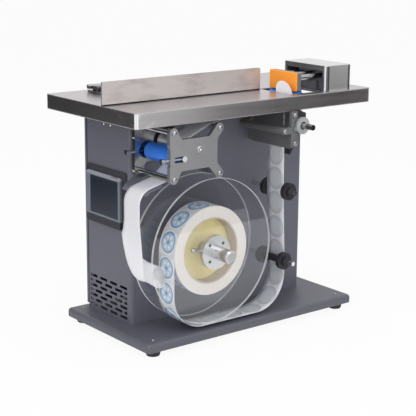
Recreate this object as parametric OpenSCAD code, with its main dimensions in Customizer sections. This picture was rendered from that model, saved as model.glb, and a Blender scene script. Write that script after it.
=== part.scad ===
// Corner labelling machine for a bench: a steel tray table on a sheet-metal cabinet,
// a label reel, a nip drive for the backing paper, a peel blade under the table window
// and a sprung press pad that holds the label up to the corner of a product.
// Bench coordinates: X from the table's left edge, Y back from its front edge, Z up
// from the floor. place() moves them to the part's frame, centred on the floor.

/* [Table] */
// Length of the table
table_l = 534; // [480:1:600]
// Depth of the table
table_d = 280; // [275:1:320]
// Height of the table's top above the floor
table_h = 430; // [420:1:460]
// Thickness of the table's sheet
table_t = 2; // [1.5:0.1:3]
// Height of the folded edge
flange_h = 26; // [16:1:30]
// Corner radius of the folded edge
table_r = 6; // [3:0.5:10]
// Left edge of the window for label, pad and roller
window_x = 352; // [345:1:358]
// Length of the window
window_l = 74; // [70:1:84]
// Front edge of the window
window_y = 20; // [18:0.5:22]
// Depth of the window
window_d = 87; // [85:0.5:88]

/* [Base] */
// Length of the base plate
base_l = 483; // [460:1:520]
// Depth of the base plate
base_d = 262; // [255:1:300]
// Thickness of the base plate
base_t = 16; // [10:0.5:18]
// Left edge of the base plate
base_x = 29; // [20:1:35]
// Front edge of the base plate
base_y = 9; // [6:1:15]
// Corner radius of the base plate
base_r = 7; // [5:0.5:14]
// Rounding of the base plate's top edge
base_edge = 6; // [1:0.5:6]
// Diameter of a rubber foot
foot_d = 28; // [20:1:32]
// Height of a rubber foot
foot_h = 11; // [8:0.5:13]
// Foot centre from the base plate's end
foot_dx = 24; // [18:1:40]
// Foot centre from the base plate's long edge
foot_dy = 20; // [16:1:30]

/* [Cabinet] */
// Left face of the cabinet
cab_x = 68; // [60:1:70]
// Length of the cabinet
cab_l = 402; // [390:1:420]
// Front face of the cabinet
cab_y = 116; // [114:1:125]
// Depth of the cabinet
cab_d = 145; // [140:1:150]
// Thickness of the cabinet's sheet
cab_t = 2; // [1.2:0.1:3]
// Bend radius of the cabinet's front edges
cab_r = 7; // [4:0.5:10]
// Depth of the rear cover's outer rim
cover_rim = 6; // [4:0.5:10]
// Seam between the cabinet and the rear cover
seam = 1.2; // [0.5:0.1:2]

/* [Vent slots] */
// Length of a vent slot
vent_l = 24; // [18:0.5:26]
// Height of a vent slot
vent_h = 5.5; // [4:0.5:7]
// Slot pitch along a row
vent_pitch = 32.2; // [28:0.1:34]
// Pitch of the rows
vent_row = 9.3; // [8:0.1:10]
// Rows of slots
vent_rows = 7; // [3:2:9]
// Slots in a long row
vent_cols = 4; // [2:1:4]
// First slot from the cabinet's front face
vent_front = 12.5; // [9:0.5:16]
// Lowest row above the base plate
vent_up = 8; // [6:0.5:14]

/* [Touch panel] */
// Width of the dark surround
panel_w = 126; // [110:1:130]
// Height of the dark surround
panel_h = 106; // [90:1:120]
// Centre height of the surround
panel_z = 249; // [220:1:280]
// Surround's rear edge from the cabinet's back
panel_back = 9; // [6:0.5:14]
// Width of the bezel
bezel_w = 109; // [100:1:116]
// Height of the bezel
bezel_h = 92; // [80:1:96]
// How far the bezel stands out of the cabinet
bezel_out = 6; // [5:0.5:14]
// Width of the glass
glass_w = 90; // [70:1:95]
// Height of the glass
glass_h = 69; // [50:1:72]
// Glass from the bezel's front edge
glass_front = 6.5; // [5:0.5:12]

/* [Fence] */
// Front face of the fence
fence_y = 98; // [90:1:110]
// Length of the fence
fence_l = 346; // [320:1:348]
// Height of the fence
fence_h = 40.5; // [30:0.5:60]
// Thickness of the fence
fence_t = 3; // [2:0.5:5]
// Clamp knob centre behind the table's front edge
knob_y = 245; // [240:1:250]
// Left clamp knob from the table's left edge
knob_x = 88; // [70:1:110]
// Distance between the two clamp knobs
knob_span = 176; // [140:1:200]
// Outer diameter of a clamp knob
knob_d = 45; // [30:1:52]
// Height of a clamp knob
knob_h = 10; // [8:0.5:20]
// Diameter of the stud that the knob turns on
stud_d = 8; // [6:0.5:10]

/* [Press pad] */
// Width of the pad
pad_w = 73; // [60:1:76]
// Height of the pad
pad_h = 34; // [28:0.5:40]
// Thickness of the foam
foam_t = 4; // [3:0.5:6]
// Thickness of the plate behind the foam
pad_plate_t = 8; // [5:0.5:10]
// Travel of the pad
pad_travel = 25; // [10:1:30]
// Diameter of the guide rods
press_rod_d = 10; // [8:0.5:12]
// Diameter of the piston rod
piston_d = 12; // [8:0.5:14]
// Length of the housing
housing_l = 64; // [60:1:80]
// Depth of the housing
housing_d = 116; // [112:1:130]
// Height of the housing
housing_h = 46; // [45:0.5:60]
// Sheet of the housing
housing_t = 2; // [1.5:0.1:3]
// Bend radius of the housing's upright edges
housing_r = 6; // [3:0.5:8]
// Inward fold round the housing's open side
housing_lip = 9; // [5:0.5:10]

/* [Table roller] */
// Diameter of the blue roller in the window
table_roller_d = 30; // [24:0.5:32]
// How far its crown stands above the table
roller_crown = 1; // [0.5:0.1:1.2]
// Diameter of its axle
roller_axle_d = 8; // [6:0.5:10]

/* [Drive unit] */
// Middle of the drive plates from the table's left edge
drive_x = 126; // [122:1:130]
// Middle of the drive plates below the table's top
drive_drop = 79; // [77:0.5:84]
// Front plate's face from the cabinet's face
drive_reach = 114.5; // [112:0.5:116]
// Thickness of a drive plate
plate_t = 8; // [6:0.5:9]
// Half the distance between the tie rods along X
ear_dx = 48.4; // [46:0.2:52]
// Half the distance between the tie rods along Z
ear_dz = 39.3; // [38:0.2:41]
// Diameter of a tie rod
tie_d = 10; // [8:0.5:12]
// Space between the back plate and the cabinet
plate_standoff = 4; // [3:0.5:6]
// Diameter of the drive roller
drive_d = 35; // [32:0.5:36]
// Diameter of the blue pinch roller
pinch_d = 30.6; // [28:0.2:32]
// Diameter of the drive shaft and of the pinch axle
shaft_d = 10; // [8:0.5:12]

/* [Motor] */
// Width of the square motor
motor_w = 57; // [42:1:60]
// Length of the motor
motor_l = 56; // [40:1:60]
// Motor axis below the drive shaft
motor_drop = 96; // [90:1:110]
// Outer diameter of the pulley on the drive shaft
pulley_d = 38; // [34:0.5:44]
// Outer diameter of the pulley on the motor
motor_pulley_d = 19; // [16:0.5:24]

/* [Reel] */
// Reel axis from the table's left edge
reel_x = 173.4; // [170:0.2:176]
// Reel axis above the floor
reel_z = 169; // [166:0.5:172]
// Diameter of the clear discs
disc_d = 261; // [240:1:264]
// Thickness of a clear disc
disc_t = 4; // [3:0.5:5]
// Distance between the two discs
disc_gap = 50; // [48:0.5:54]
// Back disc's inner face from the cabinet's face
disc_back = 47; // [42:0.5:50]
// Diameter of the spindle
spindle_d = 24; // [20:0.5:25]
// Spindle's end in front of the table's front edge
spindle_out = 36; // [34:0.5:45]
// Diameter of the front hub
hub_d = 61; // [50:1:70]
// Thickness of the front hub
hub_t = 9; // [7:0.5:12]
// Inner diameter of the cardboard core
core_d = 114; // [100:1:118]
// Wall of the cardboard core
core_t = 3; // [2:0.5:4]
// Outer diameter of the label roll
roll_d = 160; // [140:1:164]

/* [Label web] */
// Width of the label strip
web_w = 46; // [40:0.5:47]
// Thickness of the label strip
web_t = 0.3; // [0.2:0.05:0.5]
// Radius of the loop's two lower corners
loop_r = 64; // [56:1:66]
// Space between the clear discs and the loop
loop_gap = 5; // [4.5:0.1:6]
// Diameter of a label
label_d = 43; // [36:1:44]
// How far the standing label rises above the table
label_up = 22; // [15:0.5:24]

/* [Guide rods] */
// Upper guide rod from the table's left edge
upper_rod_x = 347.5; // [345:0.5:350]
// Upper guide rod above the floor
upper_rod_z = 253; // [245:1:260]
// Lower guide rod from the table's left edge
lower_rod_x = 339.5; // [337:0.5:342]
// Lower guide rod above the floor
lower_rod_z = 123; // [118:1:135]
// Diameter of a guide rod
rod_d = 8; // [6:0.5:9]
// Diameter of the turning sleeves
sleeve_d = 13; // [12:0.5:15]
// Diameter of the black guide collars
collar_d = 32; // [26:0.5:34]
// Thickness of a guide collar
collar_t = 8; // [6:0.5:10]
// Length of the upper rod in front of its front collar
upper_tail = 16; // [12:0.5:22]
// Length of the lower rod in front of its front collar
lower_tail = 23; // [12:0.5:26]

/* [Peel unit] */
// Thickness of the peel unit's end plates
peel_t = 6; // [5:0.5:8]
// Width of an end plate's upright
peel_w = 14; // [12:0.5:14]
// Height of an end plate's upright
peel_h = 65; // [62:0.5:66]
// Length of an end plate's arm
peel_arm = 22; // [20:0.5:26]
// Thickness of the folded peel blade
blade_t = 2; // [1.5:0.1:2.5]
// Height of the blade's upright part
blade_h = 24; // [18:0.5:26]
// Diameter of the hand knob
hand_d = 31; // [28:0.5:36]
// Thickness of the hand knob's disc
hand_t = 5; // [4:0.5:10]
// Length of the hand knob's stem
hand_stem = 26; // [16:0.5:28]

/* [Hidden] */
$fn = 64;
// Running clearance of a shaft in its bore
fit = 0.05;
// Clearance between a moving face and its neighbour
gap = 0.3;
// Overlap that makes a cut go right through
cut = 1;

// Part frame: the box round the whole machine is centred in X and Y
frame_x = -table_l / 2;
frame_y = -(table_d + spindle_out) / 2 + spindle_out;

// Heights shared by several pieces
base_top = foot_h + base_t;
under_table = table_h - table_t;
cab_back = cab_y + cab_d;
shell_back = cab_back - cover_rim - seam;

// Reel planes and the web between the discs
disc_back_y = cab_y - disc_back;
disc_front_y = disc_back_y - disc_gap;
web_y = disc_front_y + (disc_gap - web_w) / 2;

// Drive unit
drive_z = table_h - drive_drop;
plate_front_y = cab_y - drive_reach;
plate_back_y = cab_y - plate_standoff - plate_t;
ear_r = 8.4;
ears = [for (sx = [-1, 1], sz = [-1, 1]) [drive_x + sx * ear_dx, drive_z + sz * ear_dz]];
drive_axis = [drive_x + 4.5, drive_z + 7];
nip = web_t + 2 * gap + 0.1;
pinch_turn = 203.7;
pinch_reach = drive_d / 2 + pinch_d / 2 + nip;
pinch_axis = drive_axis + pinch_reach * [cos(pinch_turn), sin(pinch_turn)];
roller_y0 = plate_front_y + plate_t + 5;
roller_y1 = plate_back_y - 6;

// Motor behind the cabinet's front wall
motor_axis = [drive_axis[0], drive_axis[1] - motor_drop];
belt_y = cab_y + cab_t + 10;
belt_w = 10;
belt_t = 2;
pulley_w = belt_w + 4;
motor_plate_y = belt_y + pulley_w + 6;
motor_plate_t = 4;
motor_shaft_d = 6.35;
motor_y = motor_plate_y + motor_plate_t;
motor_shaft_in = 14;

// Press unit and window
pad_x = window_x + 19;
pad_y = window_y + 8;
pad_z = table_h + 2;
plate_x = pad_x + foam_t;
rod_x = plate_x + pad_plate_t;
housing_x = window_x + window_l + 2;
housing_y = window_y - 10;
block_x = housing_x + 20;
block_l = housing_l - housing_t - 20 - 1;
press_mid = pad_y + pad_w / 2;
press_rod_dy = 28;
press_rod_z = table_h + 26;
press_rod_end = housing_x + housing_l - housing_t - pad_travel - 2;
block_h = press_rod_z - table_h + press_rod_d / 2 + 7;

// Table roller
roller_x = window_x + 28;
roller_z = table_h + roller_crown - table_roller_d / 2;
roller_len = window_d - 14;
roller_mid = window_y + window_d / 2;
roller_block_t = 7;
roller_block_w = 22;
block_front_y = window_y - 2 - roller_block_t;
block_back_y = window_y + window_d + 1;

// Peel unit: the strip climbs past the blade to its edge under the window
peel_x = window_x - 10.4;
peel_z = table_h - 27 - peel_h;
peel_front_y = -3;
peel_back_y = cab_y - peel_t;
arm_z = peel_z + 31;
arm_h = 12;
bar_d = 12;
bar_x = peel_x - peel_w / 2 - peel_arm + bar_d / 2;
edge_r = blade_t / 2;
edge = [window_x + 4.4, table_h - 5];
blade_foot = [peel_x - 3.6, peel_z - 3];
blade_bend = [blade_foot[0], blade_foot[1] + blade_h];
blade_lean = atan2(edge[0] - blade_bend[0], edge[1] - blade_bend[1]);
blade_off = [cos(blade_lean), -sin(blade_lean)];
strip_clear = gap + web_t / 2;
guide_bar_d = 6;
guide_bar = [blade_foot[0] + blade_t / 2 + 2 * strip_clear + guide_bar_d / 2, peel_z + 7];
hand_axis = [peel_x + 15.1, arm_z + 7.8];
bearing_w = hand_axis[0] + 9 - peel_x - peel_w / 2;

// Fence clamp
arm_w = 26;
arm_t = 3;
slide_back = 50;
slide_front = 6;
arm_y1 = knob_y + slide_front + 11;

function unit(a) = [cos(a), sin(a)];

// Web route: a strip that runs from circle to circle. Each wrap is [x, z, r, side], side 1
// with the centre on the left of the way the strip runs and -1 with it on the right.
function heading(a, b) =
  let (v = [b[0] - a[0], b[1] - a[1]], swing = b[2] * b[3] - a[2] * a[3])
  atan2(v[1], v[0]) - asin(swing / norm(v));
function turn_to(a, b, side) = let (d = b - a) side > 0 ? (d < 0 ? d + 360 : d) : (d > 0 ? d - 360 : d);
function near_turn(d) = abs(d) > 350 ? 0 : d;
function wrap_points(w, a, b, off) =
  let (turn = near_turn(turn_to(a, b, w[3])), n = ceil(abs(turn) / 9), r = w[2] * w[3] - off)
  [for (i = [0:n]) let (t = a + turn * i / max(n, 1)) [w[0] + r * sin(t), w[1] - r * cos(t)]];
function mod_turn(a) = a - 360 * floor(a / 360);
function web_ways(wraps) = [for (i = [0:len(wraps) - 2]) mod_turn(heading(wraps[i], wraps[i + 1]))];
function web_side(wraps, off, start) =
  let (last = len(wraps) - 1, ways = web_ways(wraps))
  [for (i = [0:last]) each wrap_points(wraps[i], i == 0 ? start : ways[i - 1], ways[min(i, last - 1)], off)];
function reversed(list) = [for (i = [len(list) - 1:-1:0]) list[i]];

// Label strip: off the roll, round the loop under the discs, past both rods, up to the edge
loop_z = reel_z - disc_d / 2 - loop_gap + loop_r;
roll_wrap_r = roll_d / 2 + strip_clear;
rod_wrap_r = sleeve_d / 2 + strip_clear;
edge_wrap_r = edge_r + strip_clear;
loop_left_x = reel_x - roll_wrap_r + loop_r;
loop_right_x = lower_rod_x + rod_wrap_r - loop_r;
strip_wraps = [
  [reel_x, reel_z, roll_wrap_r, 1],
  [loop_left_x, loop_z, loop_r, 1],
  [loop_right_x, loop_z, loop_r, 1],
  [lower_rod_x, lower_rod_z, rod_wrap_r, 1],
  [upper_rod_x, upper_rod_z, rod_wrap_r, -1],
  [guide_bar[0], guide_bar[1], guide_bar_d / 2 + strip_clear, -1],
  [edge[0], edge[1], edge_wrap_r, 1]
];
strip_ways = web_ways(strip_wraps);
climb = strip_ways[len(strip_ways) - 1];
climb_dir = unit(climb);
climb_right = [sin(climb), -cos(climb)];
climb_end = edge + edge_wrap_r * climb_right;
peel_roller_r = (hand_axis - climb_end) * climb_right - strip_clear;

// Backing paper: from the edge over a tie rod, through the nip, under a tie rod, then free
ear_ll = ears[0];
ear_ur = ears[3];
tie_wrap_r = tie_d / 2 + strip_clear;
crest_r = 28;
crest = ear_ll - [28.6, 42.1];
hang = [crest[0] - crest_r, crest[1] - 29.6];
liner_wraps = [
  [edge[0], edge[1], edge_wrap_r, 1],
  [ear_ur[0], ear_ur[1], tie_wrap_r, 1],
  [drive_axis[0], drive_axis[1], drive_d / 2 + strip_clear, 1],
  [pinch_axis[0], pinch_axis[1], pinch_d / 2 + strip_clear, -1],
  [ear_ll[0], ear_ll[1], tie_wrap_r, -1],
  [crest[0], crest[1], crest_r, 1],
  [hang[0], hang[1], 0, 1]
];

// Tail of the backing paper: it bends about a slanting line and runs off behind its own front edge.
// Each row is where the back edge lies, where the front edge lies and how far the paper bellies out.
tail_rows = [
  [[0, 0, 0], [0, 0, 0], 0],
  [[-2, 0, -15], [4, 0, -45], 0.35],
  [[-4, 0, -29], [9, 0, -93], 1],
  [[9, -12, -50], [18, 0.5, -105], 0.6],
  [[23, -23, -69], [27, 1, -112], 0.25],
  [[36, -27, -78], [36, 2, -118], 0],
  [[50, -29, -85], [46, 4, -121], 0],
  [[62, -30, -91], [56, 7, -119], 0]
];
tail_belly = [-6, 0, -23];
tail_steps = 2;
sheet_cols = 4;
function blend(a, b, c, d, t) =
  b + (c - a) * t / 2 + (2 * a - 5 * b + 4 * c - d) * t * t / 2 + (3 * b - a - 3 * c + d) * t * t * t / 2;
function row_at(i, part) = tail_rows[min(max(i, 0), len(tail_rows) - 1)][part];
function tail_edge(part) = [for (i = [0:len(tail_rows) - 2], k = [0:tail_steps - 1])
  blend(row_at(i - 1, part), row_at(i, part), row_at(i + 1, part), row_at(i + 2, part), k / tail_steps),
  tail_rows[len(tail_rows) - 1][part]];
tail_from = [hang[0], web_y, hang[1]];
tail_mid = let (back = tail_edge(0), front = tail_edge(1), belly = tail_edge(2))
  [for (i = [0:len(back) - 1]) [for (k = [0:sheet_cols]) let (v = k / sheet_cols)
    tail_from + (back[i] + [0, web_w, 0]) * (1 - v) + front[i] * v + tail_belly * belly[i] * 4 * v * (1 - v)]];
function near_row(grid, i) = grid[min(max(i, 0), len(grid) - 1)];
function side_of(grid, i, k) = let (
    along = near_row(grid, i + 1)[k] - near_row(grid, i - 1)[k],
    across = grid[i][min(k + 1, sheet_cols)] - grid[i][max(k - 1, 0)], n = cross(along, across)) n / norm(n);
function tail_side(off) = [for (i = [1:len(tail_mid) - 1])
  [for (k = [0:sheet_cols]) tail_mid[i][k] - off * side_of(tail_mid, i, k)]];
function flat_side(off) = [for (p = web_side(liner_wraps, off, climb))
  [for (k = [0:sheet_cols]) [p[0], web_y + web_w * (1 - k / sheet_cols), p[1]]]];

module place() { translate([frame_x, frame_y, 0]) children(); }
module ycyl(x, z, y0, y1, d) { translate([x, y0, z]) rotate([-90, 0, 0]) cylinder(d = d, h = y1 - y0); }
module xcyl(x0, x1, y, z, d) { translate([x0, y, z]) rotate([0, 90, 0]) cylinder(d = d, h = x1 - x0); }
module zcyl(x, y, z0, z1, d) { translate([x, y, z0]) cylinder(d = d, h = z1 - z0); }
module box(p, s) { translate(p) cube(s); }
// Raise an XZ outline into a slab that starts at y0 and is t thick
module yslab(y0, t) { translate([0, y0 + t, 0]) rotate([90, 0, 0]) linear_extrude(t) children(); }
// Raise a YZ outline into a slab that starts at x0 and is t thick
module xslab(x0, t) { translate([x0, 0, 0]) rotate([90, 0, 90]) linear_extrude(t) children(); }
// Rectangle with round corners, made from squares and circles
module round_rect(p, s, r) {
  translate([p[0] + r, p[1]]) square([s[0] - 2 * r, s[1]]);
  translate([p[0], p[1] + r]) square([s[0], s[1] - 2 * r]);
  for (x = [p[0] + r, p[0] + s[0] - r], y = [p[1] + r, p[1] + s[1] - r]) translate([x, y]) circle(r);
}
// Slot with round ends along the first axis
module slot(mid, l, h) {
  translate(mid) square([l - h, h], center = true);
  for (s = [-1, 1]) translate([mid[0] + s * (l - h) / 2, mid[1]]) circle(d = h);
}
// Strip of paper along a list of wraps
module web(wraps, start) {
  outer = web_side(wraps, -web_t / 2, start);
  inner = web_side(wraps, web_t / 2, start);
  yslab(web_y, web_w) polygon(concat(outer, reversed(inner)));
}
// Button-head screw with its washer, head towards the front
module front_screw(x, z, y, shank) {
  ycyl(x, z, y - 1, y, 10);
  translate([x, y - 1, z]) rotate([90, 0, 0]) rotate_extrude()
    polygon([[0, 0], [4.6, 0], [4.2, 1.6], [3, 2.7], [1.6, 3], [1.6, 1.4], [0, 1.4]]);
  ycyl(x, z, y, y + shank, 5);
}

// Base and cabinet
module base_corner() {
  r = base_r;
  e = min(base_edge, r - 0.5);
  rotate_extrude($fn = 32)
    polygon(concat([[0, 0], [r - 1, 0], [r, 1]],
      [for (a = [0:30:90]) [r - e + e * cos(a), base_t - e + e * sin(a)]], [[0, base_t]]));
}
foot_spots = [for (sx = [0, 1], sy = [0, 1])
  [base_x + foot_dx + sx * (base_l - 2 * foot_dx), base_y + foot_dy + sy * (base_d - 2 * foot_dy)]];
module base_plate() {
  color("dimgray") place() difference() {
    translate([0, 0, foot_h]) hull()
      for (x = [base_x + base_r, base_x + base_l - base_r], y = [base_y + base_r, base_y + base_d - base_r])
        translate([x, y, 0]) base_corner();
    for (s = foot_spots) zcyl(s[0], s[1], foot_h - cut, base_top + cut, 5.2);
  }
}
module rubber_feet() {
  color([0.06, 0.06, 0.06]) place() for (s = foot_spots) translate([s[0], s[1], 0]) {
    rotate_extrude() polygon([[0, 0], [foot_d / 2 - 3, 0], [foot_d / 2 - 2, 1], [foot_d / 2, foot_h - 1],
      [foot_d / 2, foot_h], [0, foot_h]]);
    translate([0, 0, foot_h]) cylinder(d = 5, h = base_t);
  }
}
vent_y = cab_y + vent_front;
vent_z = base_top + vent_up;
module vents() {
  for (row = [0:vent_rows - 1], col = [0:vent_cols - (row % 2)]) {
    long = row % 2 == 0;
    z = vent_z + row * vent_row;
    first = vent_y + vent_l / 2;
    half = (vent_pitch - vent_l);
    if (long && col < vent_cols) slot([first + col * vent_pitch, z], vent_l, vent_h);
    if (!long && col < vent_cols - 1) slot([first + (col + 0.5) * vent_pitch, z], vent_l, vent_h);
    if (!long && col == vent_cols - 1) {
      slot([vent_y + half / 2 + 1, z], half + 2, vent_h);
      slot([vent_y + (vent_cols - 1) * vent_pitch + vent_l - half / 2 - 1, z], half + 2, vent_h);
    }
  }
}
panel_y = cab_back - panel_back - panel_w;
// Chute: a bent sheet under the backing paper, on a tongue that passes below the drive plate
chute_t = 2;
chute_front = 7;
chute_back = 13;
chute_run = 22;
chute_lip = 32;
tongue_l = 24;
tongue_w = 10;
chute_way = web_ways(liner_wraps)[4];
chute_knee = crest + (crest_r - strip_clear) * unit(chute_way - 90) - chute_run * unit(chute_way);
chute_end = chute_knee[0] + tongue_l;
chute_y = [web_y - chute_front, web_y + web_w + chute_back];
function chute_line(off) = concat([[chute_end, chute_knee[1] - off], chute_knee - [0, off]],
  [for (a = [0:4:chute_lip]) crest + (crest_r - strip_clear - off) * unit(chute_way - 90 + a)]);
module chute() {
  tip = crest[0] - crest_r;
  intersection() {
    yslab(chute_y[0], cab_y + cut - chute_y[0]) polygon(concat(chute_line(0), reversed(chute_line(chute_t))));
    translate([0, 0, base_top]) linear_extrude(under_table - base_top) polygon([
      [tip, chute_y[0]], [chute_knee[0], chute_y[0]], [chute_knee[0], chute_y[1]],
      [chute_end, plate_back_y - tongue_w], [chute_end, cab_y + cut],
      [chute_end - tongue_w, cab_y + cut], [chute_end - tongue_w, cab_y - tongue_w], [tip, chute_y[1]]]);
  }
}
module cabinet_shell() {
  h = under_table - base_top;
  color([0.4, 0.4, 0.42]) place() union() {
    chute();
    difference() {
      translate([0, 0, base_top]) linear_extrude(h) difference() {
        round_rect([cab_x, cab_y], [cab_l, shell_back - cab_y + cab_r], cab_r);
        translate([cab_x - cut, shell_back]) square([cab_l + 2 * cut, 2 * cab_r]);
      }
      box([cab_x + cab_t, cab_y + cab_t, base_top - cut],
        [cab_l - 2 * cab_t, cab_d, h - cab_t + cut]);
      xslab(cab_x - cut, cab_t + 2 * cut) vents();
      box([cab_x - cut, bezel_y + bezel_lap - 2, bezel_z + bezel_lap - 2],
        [cab_t + 2 * cut, bezel_w - 2 * bezel_lap + 4, bezel_h - 2 * bezel_lap + 4]);
      ycyl(reel_x, reel_z, cab_y - cut, cab_y + cab_t + cut, spindle_d + 8);
      ycyl(drive_axis[0], drive_axis[1], cab_y - cut, cab_y + cab_t + cut, shaft_d + 6);
      for (r = guide_axes) ycyl(r[0], r[1], cab_y - cut, cab_y + cab_t + cut, rod_d + 2 * fit);
    }
  }
}
cover_gap = 4;
cover_lap = 10;
module cover_outline(inset, r) {
  tall = under_table - base_top - 2 * cover_gap;
  round_rect([cab_x + inset, base_top + cover_gap + inset], [cab_l - 2 * inset, tall - 2 * inset], r);
}
inlet_w = 28;
inlet_h = 48;
inlet_from_end = 70;
inlet_up = 45;
inlet_x = cab_x + cab_l - inlet_from_end;
inlet_z = base_top + inlet_up;
louvre_l = 80;
louvre_h = 5;
louvre_row = 12;
louvre_rows = 5;
louvre_side = 60;
louvre_up = 90;
module rear_cover() {
  rim = cab_t + gap;
  color([0.4, 0.4, 0.42]) place() difference() {
    union() {
      yslab(cab_back - cover_rim, cover_rim) cover_outline(0, 4);
      yslab(shell_back - cover_lap, cab_back - cab_t - shell_back + cover_lap) cover_outline(rim, 3);
    }
    yslab(shell_back - cover_lap - cut, cab_back - cab_t - shell_back + cover_lap + cut)
      cover_outline(rim + cab_t, 2);
    box([inlet_x - inlet_w / 2, cab_back - cab_t - cut, inlet_z - inlet_h / 2],
      [inlet_w, cab_t + 2 * cut, inlet_h]);
    for (row = [0:louvre_rows - 1]) yslab(cab_back - cab_t - cut, cab_t + 2 * cut)
      slot([cab_x + cab_l / 2 - louvre_side, base_top + louvre_up + row * louvre_row], louvre_l, louvre_h);
  }
}
module power_inlet() {
  color([0.07, 0.07, 0.07]) place() difference() {
    union() {
      yslab(cab_back, 2.5) round_rect([inlet_x - inlet_w / 2 - 4, inlet_z - inlet_h / 2 - 4],
        [inlet_w + 8, inlet_h + 8], 3);
      box([inlet_x - inlet_w / 2 + gap, cab_back - 28, inlet_z - inlet_h / 2 + gap],
        [inlet_w - 2 * gap, 28 + cut, inlet_h - 2 * gap]);
    }
    yslab(cab_back - 16, 20) polygon([for (p = [[-12, -8], [12, -8], [12, 4], [8, 8], [-8, 8], [-12, 4]])
      p + [inlet_x, inlet_z - 11]]);
    box([inlet_x - 10, cab_back - 12, inlet_z + 6], [20, 16, 15]);
    xcyl(inlet_x - 12, inlet_x + 12, rocker_axis[0], rocker_axis[1], rocker_pin + 2 * fit);
  }
  color("silver") place() for (dx = [-7, 0, 7])
    box([inlet_x + dx - 1, cab_back - 16, inlet_z - 13], [2, 12, 4]);
}
rocker_axis = [cab_back - 2, inlet_z + 13.5];
rocker_pin = 3;
rocker_tilt = 12;
module rocker_switch() {
  color([0.1, 0.1, 0.1]) place() {
    xslab(inlet_x - 9.2, 18.4) translate(rocker_axis) difference() {
      circle(d = 13.4);
      for (s = [-1, 1]) rotate(s * rocker_tilt) translate([3.4, s > 0 ? 0 : -20]) square([20, 20]);
    }
    xcyl(inlet_x - 11.5, inlet_x + 11.5, rocker_axis[0], rocker_axis[1], rocker_pin);
  }
}

// Table
window_r = 3;
module tabletop() {
  color("silver") place() {
    difference() {
      translate([0, 0, table_h - flange_h]) linear_extrude(flange_h)
        round_rect([0, 0], [table_l, table_d], table_r);
      translate([0, 0, table_h - flange_h - cut]) linear_extrude(flange_h - table_t + cut)
        round_rect([table_t, table_t], [table_l - 2 * table_t, table_d - 2 * table_t], table_r - table_t);
      translate([0, 0, under_table - cut]) linear_extrude(table_t + 2 * cut)
        round_rect([window_x, window_y], [window_l, window_d], window_r);
    }
    stud_top = table_h + arm_t + 2 * gap + knob_h - knob_hub_h - 1;
    for (x = knob_spots) zcyl(x, knob_y, table_h - cut, stud_top, stud_d);
  }
}

// Touch panel on the left face
surround_t = 3;
surround_rim = 2.5;
surround_floor = 1.5;
bezel_lap = 12;
bezel_slope = 5;
bezel_body = 26;
glass_seat = 2.5;
glass_sunk = 1;
glass_top = 7;
panel_low = panel_z - panel_h / 2;
bezel_y = panel_y + panel_w - surround_rim - gap - bezel_w;
bezel_z = panel_low + surround_rim + gap;
module screen_surround() {
  color([0.08, 0.08, 0.09]) place() difference() {
    xslab(cab_x - surround_t, surround_t) round_rect([panel_y, panel_low], [panel_w, panel_h], 5);
    xslab(cab_x - surround_t - cut, surround_t + 2 * cut)
      round_rect([bezel_y + bezel_lap - 2, bezel_z + bezel_lap - 2],
        [bezel_w - 2 * bezel_lap + 4, bezel_h - 2 * bezel_lap + 4], 3);
    xslab(cab_x - surround_t - cut, surround_t - surround_floor + cut)
      round_rect([panel_y + surround_rim, panel_low + surround_rim],
        [panel_w - 2 * surround_rim, panel_h - 2 * surround_rim], 4);
  }
}
module screen_bezel() {
  top = bezel_z + bezel_h;
  out = cab_x - bezel_out;
  seat = cab_x - surround_floor;
  slope = bezel_slope;
  color([0.45, 0.46, 0.48]) place() difference() {
    union() {
      intersection() {
        xslab(out, seat - out) round_rect([bezel_y, bezel_z], [bezel_w, bezel_h], 4);
        yslab(bezel_y, bezel_w)
          polygon([[out, bezel_z], [seat, bezel_z], [seat, top], [seat - 2, top], [out, top - slope]]);
      }
      box([seat - cut, bezel_y + bezel_lap, bezel_z + bezel_lap],
        [bezel_body + cut, bezel_w - 2 * bezel_lap, bezel_h - 2 * bezel_lap]);
    }
    xslab(out - cut, glass_seat + cut) round_rect([glass_y, glass_z], [glass_w, glass_h], 2);
  }
}
glass_y = bezel_y + glass_front;
glass_z = bezel_z + bezel_h - glass_h - glass_top;
module screen_glass() {
  color([0.03, 0.03, 0.05]) place()
    xslab(cab_x - bezel_out + glass_sunk, glass_seat - glass_sunk)
      round_rect([glass_y + gap, glass_z + gap], [glass_w - 2 * gap, glass_h - 2 * gap], 1.5);
}

// Fence and its clamps
knob_spots = [knob_x, knob_x + knob_span];
module fence_plate() {
  color("silver") place() translate([0, 0, table_h + gap]) difference() {
    yslab(fence_y, fence_t) union() {
      square([fence_l, fence_h - 4]);
      translate([0, fence_h / 2]) square([fence_l - 4, fence_h / 2]);
      translate([fence_l - 4, fence_h - 4]) circle(4);
    }
    for (x = knob_spots, s = [-1, 1])
      ycyl(x + s * 7, 16, fence_y - cut, fence_y + fence_t + cut, 5.2);
  }
}
module fence_arms() {
  z = table_h + gap;
  y0 = fence_y + fence_t;
  color("silver") place() for (x = knob_spots) {
    difference() {
      union() {
        translate([0, 0, z]) linear_extrude(arm_t)
          round_rect([x - arm_w / 2, y0], [arm_w, arm_y1 - y0], 3);
        box([x - arm_w / 2, y0, z], [arm_w, arm_t, 26]);
      }
      translate([0, 0, z - cut]) linear_extrude(arm_t + 2 * cut) rotate(90)
        slot([knob_y + (slide_front - slide_back) / 2, -x], slide_front + slide_back + stud_d + 2 * gap,
          stud_d + 2 * gap);
    }
    for (s = [-1, 1]) ycyl(x + s * 7, z + 16, fence_y + 0.5, y0 + cut, 5);
  }
}
knob_hub_d = 20;
knob_hub_h = 4;
knob_crown = 4;
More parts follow.
